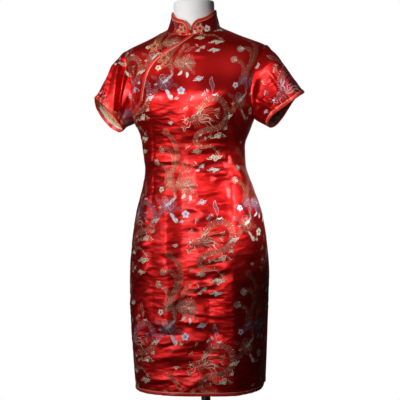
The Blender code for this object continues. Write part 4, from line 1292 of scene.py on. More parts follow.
@dataclass
class Pen:
    """Draws figures as flat ribbons, in millimetres about a centre, turned, sized and mirrored."""

    ribbons: list
    x: float = 0.0
    y: float = 0.0
    turn: float = 0.0
    size: float = 1.0
    flip: bool = False

    def moved(self, x: float, y: float, turn: float = 0.0, size: float = 1.0, flip: bool = False) -> "Pen":
        """A pen with its centre at a place of this one's.

        Args:
            x: Place across, in this pen's millimetres.
            y: Place up.
            turn: How far it is turned.
            size: How much larger it draws.
            flip: Whether it draws mirrored.

        Returns:
            The new pen, which records in the same list.
        """
        at = self.to_tile(np.array([[x, y]]))[0]
        way = -turn if self.flip else turn
        return type(self)(self.ribbons, *at, self.turn + way, self.size * size, self.flip != flip)

    def to_tile(self, points: Array) -> Array:
        """Points of this pen in the tile's millimetres."""
        c, s = math.cos(self.turn), math.sin(self.turn)
        local = points * (-1 if self.flip else 1, 1) * self.size
        return local @ np.array([[c, s], [-s, c]]) + (self.x, self.y)

    def ribbon(self, path: Array | Sequence, half: Array | float, weft: Weft, across: int = 2) -> None:
        """Records a ribbon.

        Args:
            path: (n, 2) stations.
            half: Its half width, or one for each station.
            weft: What it is woven with.
            across: Points across it, more where it is wide enough to follow the cloth.
        """
        path = np.asarray(path, float)
        half = np.broadcast_to(half, len(path))[:, None, None]
        rows = path[:, None] + left_of(path)[:, None] * half * np.linspace(1, -1, across)[:, None]
        points = self.to_tile(rows.reshape(-1, 2)).reshape(rows.shape)
        self.ribbons.append((points[:, ::-1] if self.flip else points, weft))

    def line(self, points: Sequence, width: float, weft: Weft, step: float = 2.6, tip: float = 0.35) -> None:
        """A smooth line that thins to a share of its width, tip, at both ends."""
        path = spline(points, step)
        swell = tip + (1 - tip) * np.sin(math.pi * np.linspace(0, 1, len(path))) ** 0.5
        self.ribbon(path, width / 2 * swell, weft)

    def round(self, x: float, y: float, across: float, weft: Weft, up: float | None = None,
              stations: int = 6) -> None:
        """A filled ellipse."""
        t = -np.cos(np.linspace(0.12, math.pi - 0.12, stations))
        path = np.column_stack([x + across * t, np.full(stations, y)])
        self.ribbon(path, (up or across) * np.sqrt(1 - t**2), weft, 3)

    def leaf(self, points: Sequence, width: float, weft: Weft, edge: Weft | None = None,
             vein: Weft | None = None, blunt: float = 0.7, stations: int = 7, across: int = 3) -> None:
        """A pointed blade or a blunt petal along a line, with an outline and a midrib.

        Its half width is the bell sin(pi s^blunt) along it: under 1, blunt moves the broadest
        part towards the base, and over 1 towards the tip.

        Args:
            points: Its midline, from base to tip.
            width: Its greatest width.
            weft: What fills it.
            edge: What outlines it, if anything does.
            vein: What its midrib is, if it has one.
            blunt: Power of the bell's place.
            stations: Stations along it.
            across: Points across it.
        """
        path = even_steps(spline(points, 1.0), stations)
        half = width / 2 * np.sin(math.pi * np.linspace(0.02, 0.98, stations) ** blunt) ** 0.8
        self.ribbon(path, half, weft, across)
        side = left_of(path) * half[:, None]
        if edge is not None:
            self.ribbon(np.concatenate([path + side, (path - side)[::-1]]), 0.22, edge)
        if vein is not None:
            self.ribbon(path[: max(3, stations - 1)], 0.18, vein)

    def chart(self) -> tuple[Array, Array, Array, Array]:
        """All ribbons as one flat mesh.

        Returns:
            Points in metres, four-sided faces, each face's slot, and each point's lift.
        """
        found, count = [], 0
        for k, (rows, weft) in enumerate(self.ribbons):
            cells, flat = quads(*rows.shape[:2])[:, ::-1] + count, rows.reshape(-1, 2) * 0.001
            lift = np.full(len(flat), LIFTS[weft] + 0.00001 * (k % 5))
            found.append((flat, cells, np.full(len(cells), weft.value), lift))
            count += len(flat)
        return tuple(np.concatenate(column) for column in zip(*found))


def around(count: int, shift: float = 0.0) -> list[tuple[int, float]]:
    """Numbers and angles of things set evenly round a middle."""
    return [(k, TURN * k / count + shift) for k in range(count)]


class Motif(Pen):
    """A pen that knows the brocade's figures, each drawn about its centre."""

    def dragon(self) -> None:
        """A scaled body coiled about its own mane, with clawed legs, flames, clouds and a tuft."""
        spine = spline([(-20, 14), (-10, 36), (14, 54), (38, 52), (52, 30), (48, 2), (28, -14), (2, -18),
                        (-20, -28), (-28, -46), (-14, -62), (10, -60), (26, -72)], 2.9)
        half = np.interp(np.linspace(0, 1, len(spine)), (0, 0.1, 0.45, 0.8, 1), (3.6, 5.4, 6.4, 4.0, 1.0))
        along, side = unit(np.gradient(spine, axis=0)), left_of(spine)
        self.ribbon(spine, half, FILL, 3)
        for share, width in ((1.0, 0.24), (-1.0, 0.24), (0.45, 0.18)):
            self.ribbon(spine + side * (half * share)[:, None], width, LINE)
        for k in range(1, len(spine) - 2):
            scale = self.moved(*spine[k], math.atan2(*along[k][::-1]))
            arc = [(2.4 * (1 - s * s), -half[k] * s) for s in (0.9, 0.45, 0.0, -0.4)]
            scale.ribbon(arc, 0.26, LIGHT if k % 4 == 0 else LINE)
            if k % 2 == 0:
                crest = [(-0.8, half[k]), (0.6, half[k] + 2.0), (2.2, half[k] + 3.8)]
                scale.leaf(crest, 2.0, LIGHT if k % 8 == 0 else LINE, stations=4, across=2)
        self.moved(-22, 8, 0.35, 1.15).dragon_head()
        for k, bend in enumerate((0.16, 0.36, 0.62, 0.8)):
            at = int(bend * (len(spine) - 1))
            turn = math.atan2(*side[at][::-1]) + math.pi * (k % 2)
            self.moved(*spine[at], turn, 0.85, k % 2 == 1).claw()
        for way in np.linspace(-1.1, 1.1, 6):
            tuft = LIGHT if abs(way) < 0.5 else LINE
            self.moved(26, -72, way - 0.8).line([(0, 0), (7, 0), (13, 0)], 1.0, tuft)
        for x, y, way in ((-50, 34, 0.6), (-54, -16, 2.0), (28, 28, 0.2), (14, -38, 2.6), (12, 2, 1.4),
                          (-4, 66, 0.9), (-44, -58, 3.6), (30, 12, 2.2), (44, -34, 5.6), (-34, 58, 1.3)):
            self.moved(x, y, way, 0.9).flame()
        self.moved(30, -34, 0.2, 0.95).cloud(2)
        self.moved(-22, -72, -0.1, 0.8).cloud(0)
        pearl = self.moved(-50, 8)
        pearl.round(0, 0, 3.0, LIGHT)
        pearl.ribbon(circle(0, 0, 4.2), 0.2, LINE)
        for way in (0.4, 1.7, 2.9, 4.3, 5.4):
            pearl.moved(0, 0, way).line([(5, 0), (7.6, 2.4), (9.8, 2)], 0.8, LIGHT)

    def dragon_head(self) -> None:
        """A long-jawed head looking left, with horns, whiskers, a beard and a blown mane."""
        self.leaf([(9, 0), (0, 3), (-9, 3), (-19, 5)], 12, FILL, LINE, blunt=0.75, stations=8)
        self.leaf([(3, -4), (-5, -6), (-13, -6)], 4.5, FILL, LINE, stations=6)
        self.line([(-18, 5), (-21, 8), (-17, 9), (-15, 6)], 0.8, LIGHT)
        self.round(-4, 5, 1.9, LIGHT, 1.5, 5)
        self.round(-4.3, 5, 0.9, DARK, 0.9, 4)
        self.line([(-9, 9), (-3, 10), (2, 8)], 0.9, LIGHT)
        for k in range(4):
            self.line([(-15 + 3.6 * k, 0.4), (-14.4 + 3.6 * k, -2.4)], 0.8, LIGHT, 1.4)
        for y, end in ((8, 17), (6, 11)):
            self.line([(3, y), (9, y + 6), (17, end + 1), (24, end + 5)], 1.2, LIGHT, 3.0)
        self.line([(-17, 3), (-24, -2), (-27, 6), (-34, 2)], 0.8, LIGHT, 2.6)
        self.line([(-15, 1), (-20, -9), (-28, -8), (-32, -14)], 0.8, LIGHT, 2.6)
        for k, way in enumerate(np.linspace(-1.1, 0.8, 13)):
            c, s, far = math.cos(way), math.sin(way), 1.0 + 0.35 * math.sin(2.4 * k)
            lock = [(5 * c, 1 + 5 * s), (14 * c, 13 * s), (23 * c * far - 4 * s, 20 * s + 4 * c),
                    (34 * c * far, 30 * s), (42 * c * far - 2, 34 * s - 4)]
            self.line(lock, 1.0, LIGHT if k % 3 == 1 else LINE, 3.2)
        for x in (-11, -6, -1):
            self.line([(x, -8), (x + 2, -12), (x, -16)], 0.8, LINE, 2.5)

    def claw(self) -> None:
        """A bent leg with tufts at its elbow and four spread claws."""
        self.leaf([(3, 0), (12, 4), (19, 1)], 6.5, FILL, LINE, blunt=0.6, stations=6)
        self.leaf([(18, 2), (23, -4), (25, -10)], 4.2, FILL, LINE, stations=5)
        for way in (-2.5, -1.9, -1.3, -0.6):
            self.moved(25, -10, way).line([(0, 0), (5, 0), (8, 1)], 1.3, LIGHT, 2.4)
        for way in (0.9, 0.4, -0.1):
            self.moved(20, 3, way).line([(0, 0), (6, 0), (9.5, -3)], 1.0, LINE, 3.0)

    def flame(self) -> None:
        """Three curling tongues."""
        for k, weft in enumerate((LIGHT, LINE, LINE)):
            tongue = [(-6 + 3 * k, -3 * k), (-1, 3 - 3 * k), (5 + k, 1 - 3 * k), (10 - k, 5 - 3 * k)]
            self.line(tongue, 1.4, weft, 3.2)

    def phoenix(self) -> None:
        """A bird flying down, its wings half open, and long tail feathers blown up in S bends."""
        for bright, width, points in (
            (True, 4.5, [(-2, -42), (-10, -24), (-8, -8), (-18, 6), (-31, 12)]),
            (True, 6.0, [(2, -42), (-2, -20), (7, -2), (13, 18), (8, 38), (-5, 48), (-16, 46)]),
            (False, 6.5, [(6, -42), (5, -16), (17, 6), (23, 30), (20, 54), (9, 74), (-4, 86)]),
            (False, 4.2, [(10, -44), (22, -28), (30, -8), (38, 6)]),
        ):
            self.feather(spline(points, 3.0), width, bright)
        self.moved(2, -52).wing(2.45)
        self.moved(9, -52, flip=True).wing(2.75)
        body = self.moved(5, -54, -1.35)
        body.leaf([(-15, 0), (-2, 1), (13, 0)], 15, FILL, LINE, blunt=0.8, stations=8)
        for k in range(5):
            for j in (-1, 0, 1):
                scale = circle(-9 + 4.2 * k, 3.4 * j + (k % 2) * 1.6, 2.0, 2.0, -1.4, 0.45, 4)
                body.ribbon(scale, 0.26, LINE if j else LIGHT)
        for k, weft in enumerate((LINE, FILL, LIGHT, FILL, LINE)):
            x = -3.2 + 1.6 * k
            neck = [(6 + x, -64), (9 + x * 0.8, -74), (4 + x * 0.5, -83), (-2 + x * 0.4, -88)]
            self.line(neck, 1.5, weft, 3.0)
        head = self.moved(-5, -90, 0.35)
        head.round(0, 0, 4.6, LIGHT, 3.6)
        head.ribbon(circle(0, 0, 4.8, 3.8, steps=10), 0.3, LINE)
        head.round(-1.2, 0.8, 0.8, DARK, 0.8, 4)
        head.leaf([(-4, 0), (-8, -1), (-12, -4)], 2.8, LIGHT, stations=4)
        for k in range(3):
            head.line([(2, 2.5), (5 + 3 * k, 6 + k), (11 + 3 * k, 5 + 2.6 * k)], 1.2, LIGHT, 2.6)
        head.line([(-5, -3), (-7, -8), (-4, -10)], 1.2, LINE, 2.2)

    def feather(self, path: Array, width: float, bright: bool) -> None:
        """A tail feather with barbs on both sides, and an eye at its end.

        Args:
            path: Its stations, from the rump out.
            width: Its greatest width.
            bright: Whether its eye has the bright thread.
        """
        half = width / 2 * (0.45 + 0.75 * np.sin(math.pi * np.linspace(0, 1, len(path)) * 0.8))
        along, side = unit(np.gradient(path, axis=0)), left_of(path)
        self.ribbon(path, half, FILL, 3)
        for share, line in ((0, 0.22), (1, 0.2), (-1, 0.2)):
            self.ribbon(path + side * (half * share)[:, None], line, LINE)
        for j in range(2, len(path) - 1):
            at = self.moved(*path[j], math.atan2(*along[j][::-1]))
            for sign in (1, -1) if j % 2 else (1,):
                barb = [(0, half[j] * sign), (2.7, (half[j] + 2.1) * sign), (3.8, (half[j] + 4.2) * sign)]
                at.ribbon(barb, (0.3, 0.26, 0.1), LINE if j % 6 else LIGHT)
        eye = self.moved(*path[-1], math.atan2(*along[-1][::-1]))
        for spread in np.linspace(-1.9, 1.9, 9):
            c, s = math.cos(spread), math.sin(spread)
            eye.line([(1 + 4 * c, 4 * s), (2 + 8 * c, 8 * s), (4 + 11 * c, 10 * s)], 1.1,
                     LIGHT if abs(spread) < 1.5 and bright else LINE, 3.5)
        eye.round(1, 0, 4.0, LIGHT if bright else FILL, 3.2)
        eye.round(1.4, 0, 1.7, DARK, 1.4, 4)

    def wing(self, way: float) -> None:
        """A fan of long flight feathers under two rows of rounded coverts.

        Args:
            way: The angle that it points at.
        """
        for k, spread in enumerate(np.linspace(-0.85, 0.55, 8)):
            long = 30 - 1.6 * abs(k - 3)
            flight = [(6, 0), (long * 0.6, 1.5), (long, 0)]
            self.moved(0, 0, way + spread).leaf(flight, 4.6, FILL, LINE, LINE, 1.25, 6, 2)
        for reach, count, weft in ((9, 5, LINE), (14, 6, LIGHT)):
            for spread in np.linspace(-0.8, 0.5, count):
                self.moved(0, 0, way + spread).ribbon(circle(reach, 0, 2.4, 2.4, -1.4, 0.44, 5), 0.26, weft)

    def chrysanthemum(self) -> None:
        """Three rings of narrow petals about a bright heart, and leaves beneath."""
        for x, y, way, weft in ((-10, -20, -2.3, LIGHT), (12, -20, -0.8, FILL), (2, -24, -1.5, LIGHT)):
            self.moved(x, y, way).leaf([(0, 0), (7, 2), (15, 0)], 7.5, weft, LINE, LINE, 0.8, 6)
        for count, inner, outer, width, shift in (
            (19, 9, 24, 5.2, 0.0), (15, 5, 16.5, 4.6, 0.2), (10, 1, 9.5, 3.6, 0.1),
        ):
            for k, way in around(count, shift):
                far = outer * (1 + 0.07 * math.sin(5 * k)) * (1 + 0.12 * math.sin(way) ** 2)
                self.moved(0, 0, way).leaf([(inner, 0), ((inner + far) / 2, 1.2), (far, 0)], width, FILL,
                                          LINE if k % 4 else LIGHT, None, 1.25, 5, 2)
        self.round(0, 0, 3.0, LIGHT)
        for _, way in around(6):
            self.moved(0, 0, way).round(1.7, 0, 0.5, DARK, 0.5, 3)

    def peony(self) -> None:
        """Two rings of broad ruffled petals, a bud, stems and broad leaves with bright edges."""
        for x, y, way, long, weft in (
            (-14, -16, -2.5, 19, FILL), (6, -20, -1.2, 20, LIGHT), (20, -8, -0.4, 18, FILL),
            (-20, 12, 2.7, 17, FILL),
        ):
            leaf = [(0, 0), (long * 0.5, 3), (long, 0)]
            self.moved(x, y, way).leaf(leaf, 8.0, weft, LINE, LINE, 0.75, 7)
        for count, reach, width, shift in ((7, 22, 15.0, 0.2), (5, 14, 13.0, 0.7), (4, 8, 8.0, 0.0)):
            for k, way in around(count, shift):
                far = reach * (1 + 0.1 * math.sin(3 * k + reach))
                self.moved(0, 0, way).leaf([(1.5, 0), (far * 0.55, 0), (far, 0)], width, FILL,
                                          LINE if (k + count) % 3 else LIGHT, None, 1.7, 8, 4)
                for bend in (-0.22, 0.0, 0.22):
                    self.moved(0, 0, way + bend).line([(far * 0.45, 0), (far * 0.78, 0)], 0.6, LINE, 3.0)
        for _, way in around(8):
            self.moved(0, 0, way).line([(0, 0), (4.2, 0)], 0.8, LIGHT, 2.2)
        self.line([(8, -18), (16, -26), (18, -34)], 1.3, LINE)
        bud = self.moved(19, -38, -1.2)
        for y in (-3, 0, 3):
            bud.leaf([(-6, y * 0.4), (0, y), (7, y * 0.3)], 5.5, LIGHT if y else FILL, LINE, stations=5)

    def cloud(self, kind: int) -> None:
        """Curled lobes, each with its spiral, over a drawn-out tail.

        Args:
            kind: 0 for four lobes, 1 for five bright ones, 2 for three.
        """
        lobes = (
            ((-8, 0, 4.4), (-1, 3.4, 5.4), (7, 0.6, 4.6), (1, -3.6, 4.0)),
            ((-12, -1, 4.0), (-5, 3.6, 4.8), (4, 1.6, 5.8), (12, 3.6, 4.2), (0, -4.4, 4.0)),
            ((-5, 0, 4.4), (3.2, 2.2, 5.2), (2, -4.2, 3.4)),
        )[kind]
        self.moved(*lobes[0][:2]).line([(0, -2), (-6, -4), (-11, -1)], 1.5, LIGHT)
        self.moved(*lobes[-2][:2]).line([(2, 0), (6, 3), (9, 5)], 1.1, LIGHT)
        body, rim, curl, width = (LIGHT, LINE, DARK, 0.5) if kind == 1 else (FILL, LIGHT, LIGHT, 0.75)
        for x, y, reach in lobes:
            self.round(x, y, reach, body, None, 5)
        for k, (x, y, reach) in enumerate(lobes):
            self.ribbon(circle(x, y, reach, None, 0.6 * k, 1.0, 12), width, rim)
            spiral = circle(x, y, reach * 0.62, None, 2.2 * k, 1.2 if k % 2 else -1.2, 10, 0.15)
            self.ribbon(spiral, 0.55, curl)

    def blossom(self) -> None:
        """Five round petals, stamens, and two small leaves."""
        for _, way in around(5):
            petal = self.moved(0, 0, way)
            petal.leaf([(1, 0), (5, 0), (10, 0)], 8.0, LIGHT, LINE, None, 1.5, 6)
            petal.line([(0, 0), (4.5, 0)], 0.7, DARK, 2.2)
        self.round(0, 0, 1.6, LINE, 1.6, 4)
        for way in (3.6, 5.3):
            self.moved(0, 0, way).leaf([(8, 0), (14.7, 3)], 4.5, FILL, LINE, LINE, stations=5)

    def blade(self) -> None:
        """A long curved leaf on a stem, with a bright edge."""
        self.leaf([(0, -18), (3, -4), (1, 8), (5, 20)], 8.5, FILL, LIGHT, LINE, 1.2, 9)
        self.line([(0, -18), (-3, -25), (-9, -29)], 1.1, LINE)
        self.leaf([(-2, -24), (5, -27), (11, -24)], 3.6, LIGHT, LINE, None, stations=5)


@dataclass(frozen=True)
class Brocade:
    """The figures of one repeat: dragon, phoenix, flowers and clouds on the flat chart."""

    across: Pair = (0.198, -0.052)
    up: Pair = (0.0, 0.305)
    origin: Pair = (0.049, 0.866)
    columns: range = range(-4, 5)
    rows: range = range(-5, 6)

    def tile(self) -> tuple[Array, Array, Array, Array]:
        """Draws one repeat, in millimetres from the dragon's middle.

        Returns:
            Points in metres, four-sided faces, each face's slot, and each point's lift.
        """
        pen = Motif([])
        pen.dragon()
        pen.moved(-96, -110).phoenix()
        pen.moved(-53, 149).chrysanthemum()
        pen.moved(-106, 101).peony()
        for x, y, size, way, kind in (
            (-19, 106, 0.8, 0.1, 0), (21, -90, 0.95, -0.1, 1), (-14, -109, 0.65, 0.2, 2),
            (50, -16, 0.55, 0.3, 2), (15, 185, 0.75, -0.2, 1), (-25, 186, 0.5, 0.2, 2),
            (-88, 0, 0.55, -0.3, 2), (-140, 62, 0.7, 0.2, 1), (-72, 60, 0.45, 0.1, 0),
        ):
            pen.moved(x, y, way, size).cloud(kind)
        pen.moved(-62, 78, 0.3, 1.0).blossom()
        pen.moved(-124, 140, 0.9, 0.8).blossom()
        pen.moved(13, 89, 0.25).blade()
        pen.moved(-44, 190, 2.2, 0.8).blade()
        return pen.chart()

    def weave(self, cloth: Cloth, low: Array, high: Array, shift: Pair) -> tuple[Array, ...]:
        """Copies the repeat all over a cloth piece, cut off at its edges.

        Args:
            cloth: The piece, whose on() places chart points.
            low: Least chart place it may cover.
            high: Greatest chart place it may cover.
            shift: How far the repeat is moved on it.

        Returns:
            Points, four-sided faces, each face's slot, and each point's chart place.
        """
        flat, faces, kinds, lifts = self.tile()
        found, count = [], 0
        start = np.add(self.origin, shift)
        for i in self.columns:
            for j in self.rows:
                at = flat + start + i * np.array(self.across) + j * np.array(self.up)
                if (at.max(0) < low).any() or (at.min(0) > high).any():
                    continue
                points, inside = cloth.on(at[:, 0], at[:, 1], lifts)
                inside &= ((at > low) & (at < high)).all(1)
                keep = inside[faces].all(1)
                used, index = np.unique(faces[keep], return_inverse=True)
                found.append((points[used], index.reshape(-1, 4) + count, kinds[keep], at[used]))
                count += len(used)
        return tuple(np.concatenate(column) for column in zip(*found))


# ---- the form and its stand ----
@dataclass
class DressForm:
    """The limbless form under the dress, and the turned pieces of its stand."""

    figure: Figure
    bottom: float = FORM_BOTTOM
    neck_top: float = 1.484
    around: int = 112
    base_radius: float = 0.16
    base_thickness: float = 0.008
    pole_radius: float = 0.012
    hub_height: float = 0.03
    socket_height: float = 0.026

    def skin(self) -> Mesh:
        """The torso and neck in one skin: level rings under the cloth, rounded in at both ends.

        Returns:
            Points and faces.
        """
        heights = levels((self.bottom + 0.012, 1.16, 0.01), (1.16, 1.35, 0.008), (1.35, 1.44, 0.0035),
                         (1.44, self.neck_top - 0.004, 0.008))[:, None]
        angle, inset = ring_angles(self.around), smooth_interp(heights, FORM_LEVELS, FORM_CLEAR)[..., None]
        rings = self.figure.point(angle, heights) - self.figure.normal(angle, heights) * inset
        low = [rings[0] * (share, share, 1) - (0, 0, drop) for share, drop in (
            (0.02, 0.012), (0.45, 0.012), (0.9, 0.012), (0.95, 0.0115), (0.985, 0.008))]
        high = [rings[-1] * (share, share, 1) + (0, 0, rise) for share, rise in (
            (0.985, 0.003), (0.94, 0.004), (0.5, 0.0041), (0.02, 0.0042))]
        return ring_stack(np.concatenate([low, rings, high]))

    def stand(self) -> dict[str, tuple[Mesh, str]]:
        """Turns the stand's pieces.

        The base has a rolled edge and a shallow step round the hub, the hub holds the pole, and the
        socket under the form takes its top.

        Returns:
            Each piece's points and faces, and the node it stands for, by its name.
        """
        rim, top = self.base_radius, self.base_thickness
        foot = top + SEAM_GAP
        hub = foot + self.hub_height
        under = self.bottom - SEAM_GAP
        socket = under - self.socket_height
        pole, low, high = self.pole_radius, hub + SEAM_GAP, socket - SEAM_GAP
        soft = 0.0004
        return {
            "base_plate": (turned([
                (0.0, top), (0.04, top), (0.041, top - soft), (0.043, top - soft), (0.044, top),
                (rim - 0.003, top), (rim - 0.0018, top - 0.0003), (rim - 0.0007, top - 0.0011),
                (rim, top - 0.003), (rim, 0.0015), (rim - 0.0005, 0.0006), (rim - 0.0015, 0.0), (0.0, 0.0),
            ]), "stand_base"),
            "pole_hub": (turned([
                (0.0, hub), (0.015, hub), (0.0168, hub - 0.0006), (0.0184, hub - 0.002), (0.019, hub - 0.004),
                (0.0198, foot + 0.012), (0.0205, foot + 0.008), (0.0235, foot + 0.0052),
                (0.026, foot + 0.004), (0.026, foot), (0.0, foot),
            ]), "stand_hub"),
            "form_socket": (turned([
                (0.0, under), (0.0415, under), (0.042, under - 0.0006), (0.042, under - 0.0044),
                (0.0412, under - 0.0052), (0.022, under - 0.0078), (0.0193, under - 0.0095),
                (0.0182, under - 0.014), (0.0172, socket + 0.001), (0.0165, socket), (0.0, socket),
            ]), "form_flange"),
            "pole_tube": (turned([
                (0.0, high), (pole - soft, high), (pole, high - soft), (pole, low + soft), (pole - soft, low),
                (0.0, low),
            ], 48), "stand_pole"),
        }


def ring_stack(rings: Array) -> Mesh:
    """A closed skin over rings of equal counts of points, each end closed by a face."""
    count, around = rings.shape[:2]
    ends = [list(range(around))[::-1], list(range((count - 1) * around, count * around))]
    return rings.reshape(-1, 3), quads(count, around, ring=True).tolist() + ends


def turned(profile: Sequence[Pair], steps: int = 96) -> Mesh:
    """A turned piece: its profile carried round the upright axis.

    Args:
        profile: (radius, height) of each corner, from the top down.
        steps: Points round it.

    Returns:
        Points and faces.
    """
    turn, (radius, height) = ring_angles(steps), np.array(profile[::-1]).T[..., None]
    radius = np.maximum(radius, 0.0002)
    axes = np.broadcast_arrays(radius * np.cos(turn), radius * np.sin(turn), height)
    return ring_stack(np.stack(axes, axis=-1))


# ---- finishes ----
Colour = Triple
Stops = tuple[tuple[float, float, float, float], ...]
Socket = bpy.types.NodeSocket
Sockets = bpy.types.bpy_prop_collection
WHITE: Colour = (1.0, 1.0, 1.0)


class Nodes:
    """A shader node tree, and short ways of adding to it."""

    def __init__(self, tree: bpy.types.NodeTree) -> None:
        """Takes the tree."""
        self.tree = tree

    def feed(self, value: object, socket: Socket) -> None:
        """Links a socket to another one, or sets what it holds."""
        if isinstance(value, Socket):
            self.tree.links.new(value, socket)
        else:
            socket.default_value = value

    def fed(self, node: bpy.types.Node, *values: object, **named: object) -> Sockets:
        """Feeds a node's inputs.

        Args:
            node: The node.
            values: What its first inputs take, in order.
            named: What others take, by name, with _ for a space.

        Returns:
            Its outputs.
        """
        for socket, value in zip(node.inputs, values):
            self.feed(value, socket)
        for key, value in named.items():
            self.feed(value, node.inputs[key.replace("_", " ")])
        return node.outputs

    def add(self, kind: str, *values: object, **named: object) -> Sockets:
        """Adds a node of a kind, feeds it, and gives its outputs."""
        return self.fed(self.tree.nodes.new(f"ShaderNode{kind}"), *values, **named)

    def math(self, operation: str, *values: object, kind: str = "Math") -> Socket:
        """The result of an operation.

        Args:
            operation: What is done.
            values: What it is done to.
            kind: Math for numbers, or VectorMath for colours.

        Returns:
            The result.
        """
        node = self.tree.nodes.new(f"ShaderNode{kind}")
        node.operation = operation
        return self.fed(node, *values)[0]

    def noise(self, where: Socket, scale: Colour, detail: float = 2.0) -> Socket:
        """Noise on coordinates drawn out by a scale for each axis."""
        drawn = self.add("Mapping", Vector=where, Scale=scale)[0]
        return self.add("TexNoise", Vector=drawn, Detail=detail)["Fac"]

    def ramp(self, factor: Socket, *stops: Sequence[float]) -> Socket:
        """The colour of a ramp.

        Args:
            factor: What it is read at.
            stops: Place, red, green and blue of each stop.

        Returns:
            The colour.
        """
        node = self.tree.nodes.new("ShaderNodeValToRGB")
        elements = node.color_ramp.elements
        while len(elements) < len(stops):
            elements.new(0.5)
        for element, (at, *colour) in zip(elements, stops):
            element.position, element.color = at, (*colour, 1.0)
        return self.fed(node, factor)["Color"]


def new_group(name: str, outputs: Sequence[str], **numbers: float) -> tuple:
    """Makes a node group over a vector and numbers.

    Args:
        name: Its name.
        outputs: What it gives.
        numbers: Its number inputs, with what each holds at first.

    Returns:
        Its nodes, what comes in, and what goes out.
    """
    tree = bpy.data.node_groups.new(name, "ShaderNodeTree")
    tree.interface.new_socket("Vector", in_out="INPUT", socket_type="NodeSocketVector")
    for label, value in numbers.items():
        tree.interface.new_socket(label, in_out="INPUT", socket_type="NodeSocketFloat").default_value = value
    for label in outputs:
        tree.interface.new_socket(label, in_out="OUTPUT", socket_type="NodeSocketFloat")
    return Nodes(tree), tree.nodes.new("NodeGroupInput").outputs, tree.nodes.new("NodeGroupOutput").inputs


def weave_group() -> None:
    """Crossing threads: ridges along both ways of the chart, and a slow change of tone.

    Height is the larger of two sine ridges, one for each set of threads, the warp's floats passing
    over most wefts. Tone is noise drawn out along the weft.
    """
    nodes, entry, out = new_group("weave", ("Height", "Tone"), Threads=2200.0, Float=5.0)
    place_on = nodes.add("SeparateXYZ", entry["Vector"])
    turns = nodes.math("MULTIPLY", entry["Threads"], TURN)
    warp = nodes.math("SINE", nodes.math("MULTIPLY", place_on["X"], turns))
    slant = nodes.math("MULTIPLY_ADD", place_on["X"], 0.4, place_on["Y"])
    weft = nodes.math("SINE", nodes.math("MULTIPLY", slant, nodes.math("DIVIDE", turns, entry["Float"])))
    nodes.feed(nodes.math("MAXIMUM", warp, nodes.math("MULTIPLY", weft, 0.8)), out["Height"])
    nodes.feed(nodes.noise(entry["Vector"], (45.0, 420.0, 1.0)), out["Tone"])


def mottle_group() -> None:
    """Slow cloudy change over a surface, for handling marks and uneven dye."""
    nodes, entry, out = new_group("mottle", ("Tone",), Scale=12.0)
    tone = nodes.add("TexNoise", Vector=entry["Vector"], Scale=entry["Scale"], Detail=3.0)["Fac"]
    nodes.feed(tone, out["Tone"])


def crinkle_group() -> None:
    """Small crumples, drawn out along the level, which fade out over the smooth chest.

    Height is the distance to the middle of two sizes of cell, which gives dimples with sharp rims,
    times a share that falls from the bust upwards.
    """
    nodes, entry, out = new_group("crinkle", ("Height",), Smooth=1.262)
    total = 0.0
    for scale, turn, weight in (((34.0, 100.0, 1.0), -0.12, 1.0), ((75.0, 210.0, 1.0), 0.16, 0.4)):
        drawn = nodes.add("Mapping", Vector=entry["Vector"], Scale=scale, Rotation=(0.0, 0.0, turn))[0]
        cells = nodes.add("TexVoronoi", Vector=drawn, Scale=1.0)["Distance"]
        total = nodes.math("MULTIPLY_ADD", cells, weight, total)
    below = nodes.math("SUBTRACT", entry["Smooth"], nodes.add("SeparateXYZ", entry["Vector"])["Y"])
    share = nodes.math("MAXIMUM", nodes.math("MINIMUM", nodes.math("DIVIDE", below, 0.06), 1.0), 0.12)
    nodes.feed(nodes.math("MULTIPLY", total, share), out["Height"])


class Surface(Nodes):
    """The nodes of a new material, round its Principled shader."""

    def __init__(self, name: str, where: str, **inputs: object) -> None:
        """Makes the material.

        Args:
            name: Its name.
            where: Which of its texture coordinates it reads.
            inputs: What the shader's inputs hold, by name, with _ for a space.
        """
        self.material = bpy.data.materials.new(name)
        self.material.use_nodes = True
        super().__init__(self.material.node_tree)
        self.shader = self.tree.nodes["Principled BSDF"]
        self.where = self.add("TexCoord")[where]
        self.fed(self.shader, **inputs)

    def group(self, name: str, **numbers: float) -> Sockets:
        """A shared group over the material's coordinates, and its outputs."""
        node = self.tree.nodes.new("ShaderNodeGroup")
        node.node_tree = bpy.data.node_groups[name]
        return self.fed(node, Vector=self.where, **numbers)

    def done(self, colour: Socket, roughness: Socket | float,
             *layers: tuple[Socket, float, float]) -> Material:
        """Feeds the shader.

        Args:
            colour: Its colour.
            roughness: Its roughness.
            layers: Height, depth and strength of each bump, the lowest first.

        Returns:
            The material.
        """
        self.fed(self.shader, Base_Color=colour, Roughness=roughness)
        under = None
        for height, depth, strength in layers:
            bump = self.tree.nodes.new("ShaderNodeBump")
            if under:
                self.feed(under, bump.inputs["Normal"])
            under = self.fed(bump, Height=height, Distance=depth, Strength=strength)["Normal"]
        self.feed(under, self.shader.inputs["Normal"])
        return self.material


CRINKLE = 0.0012


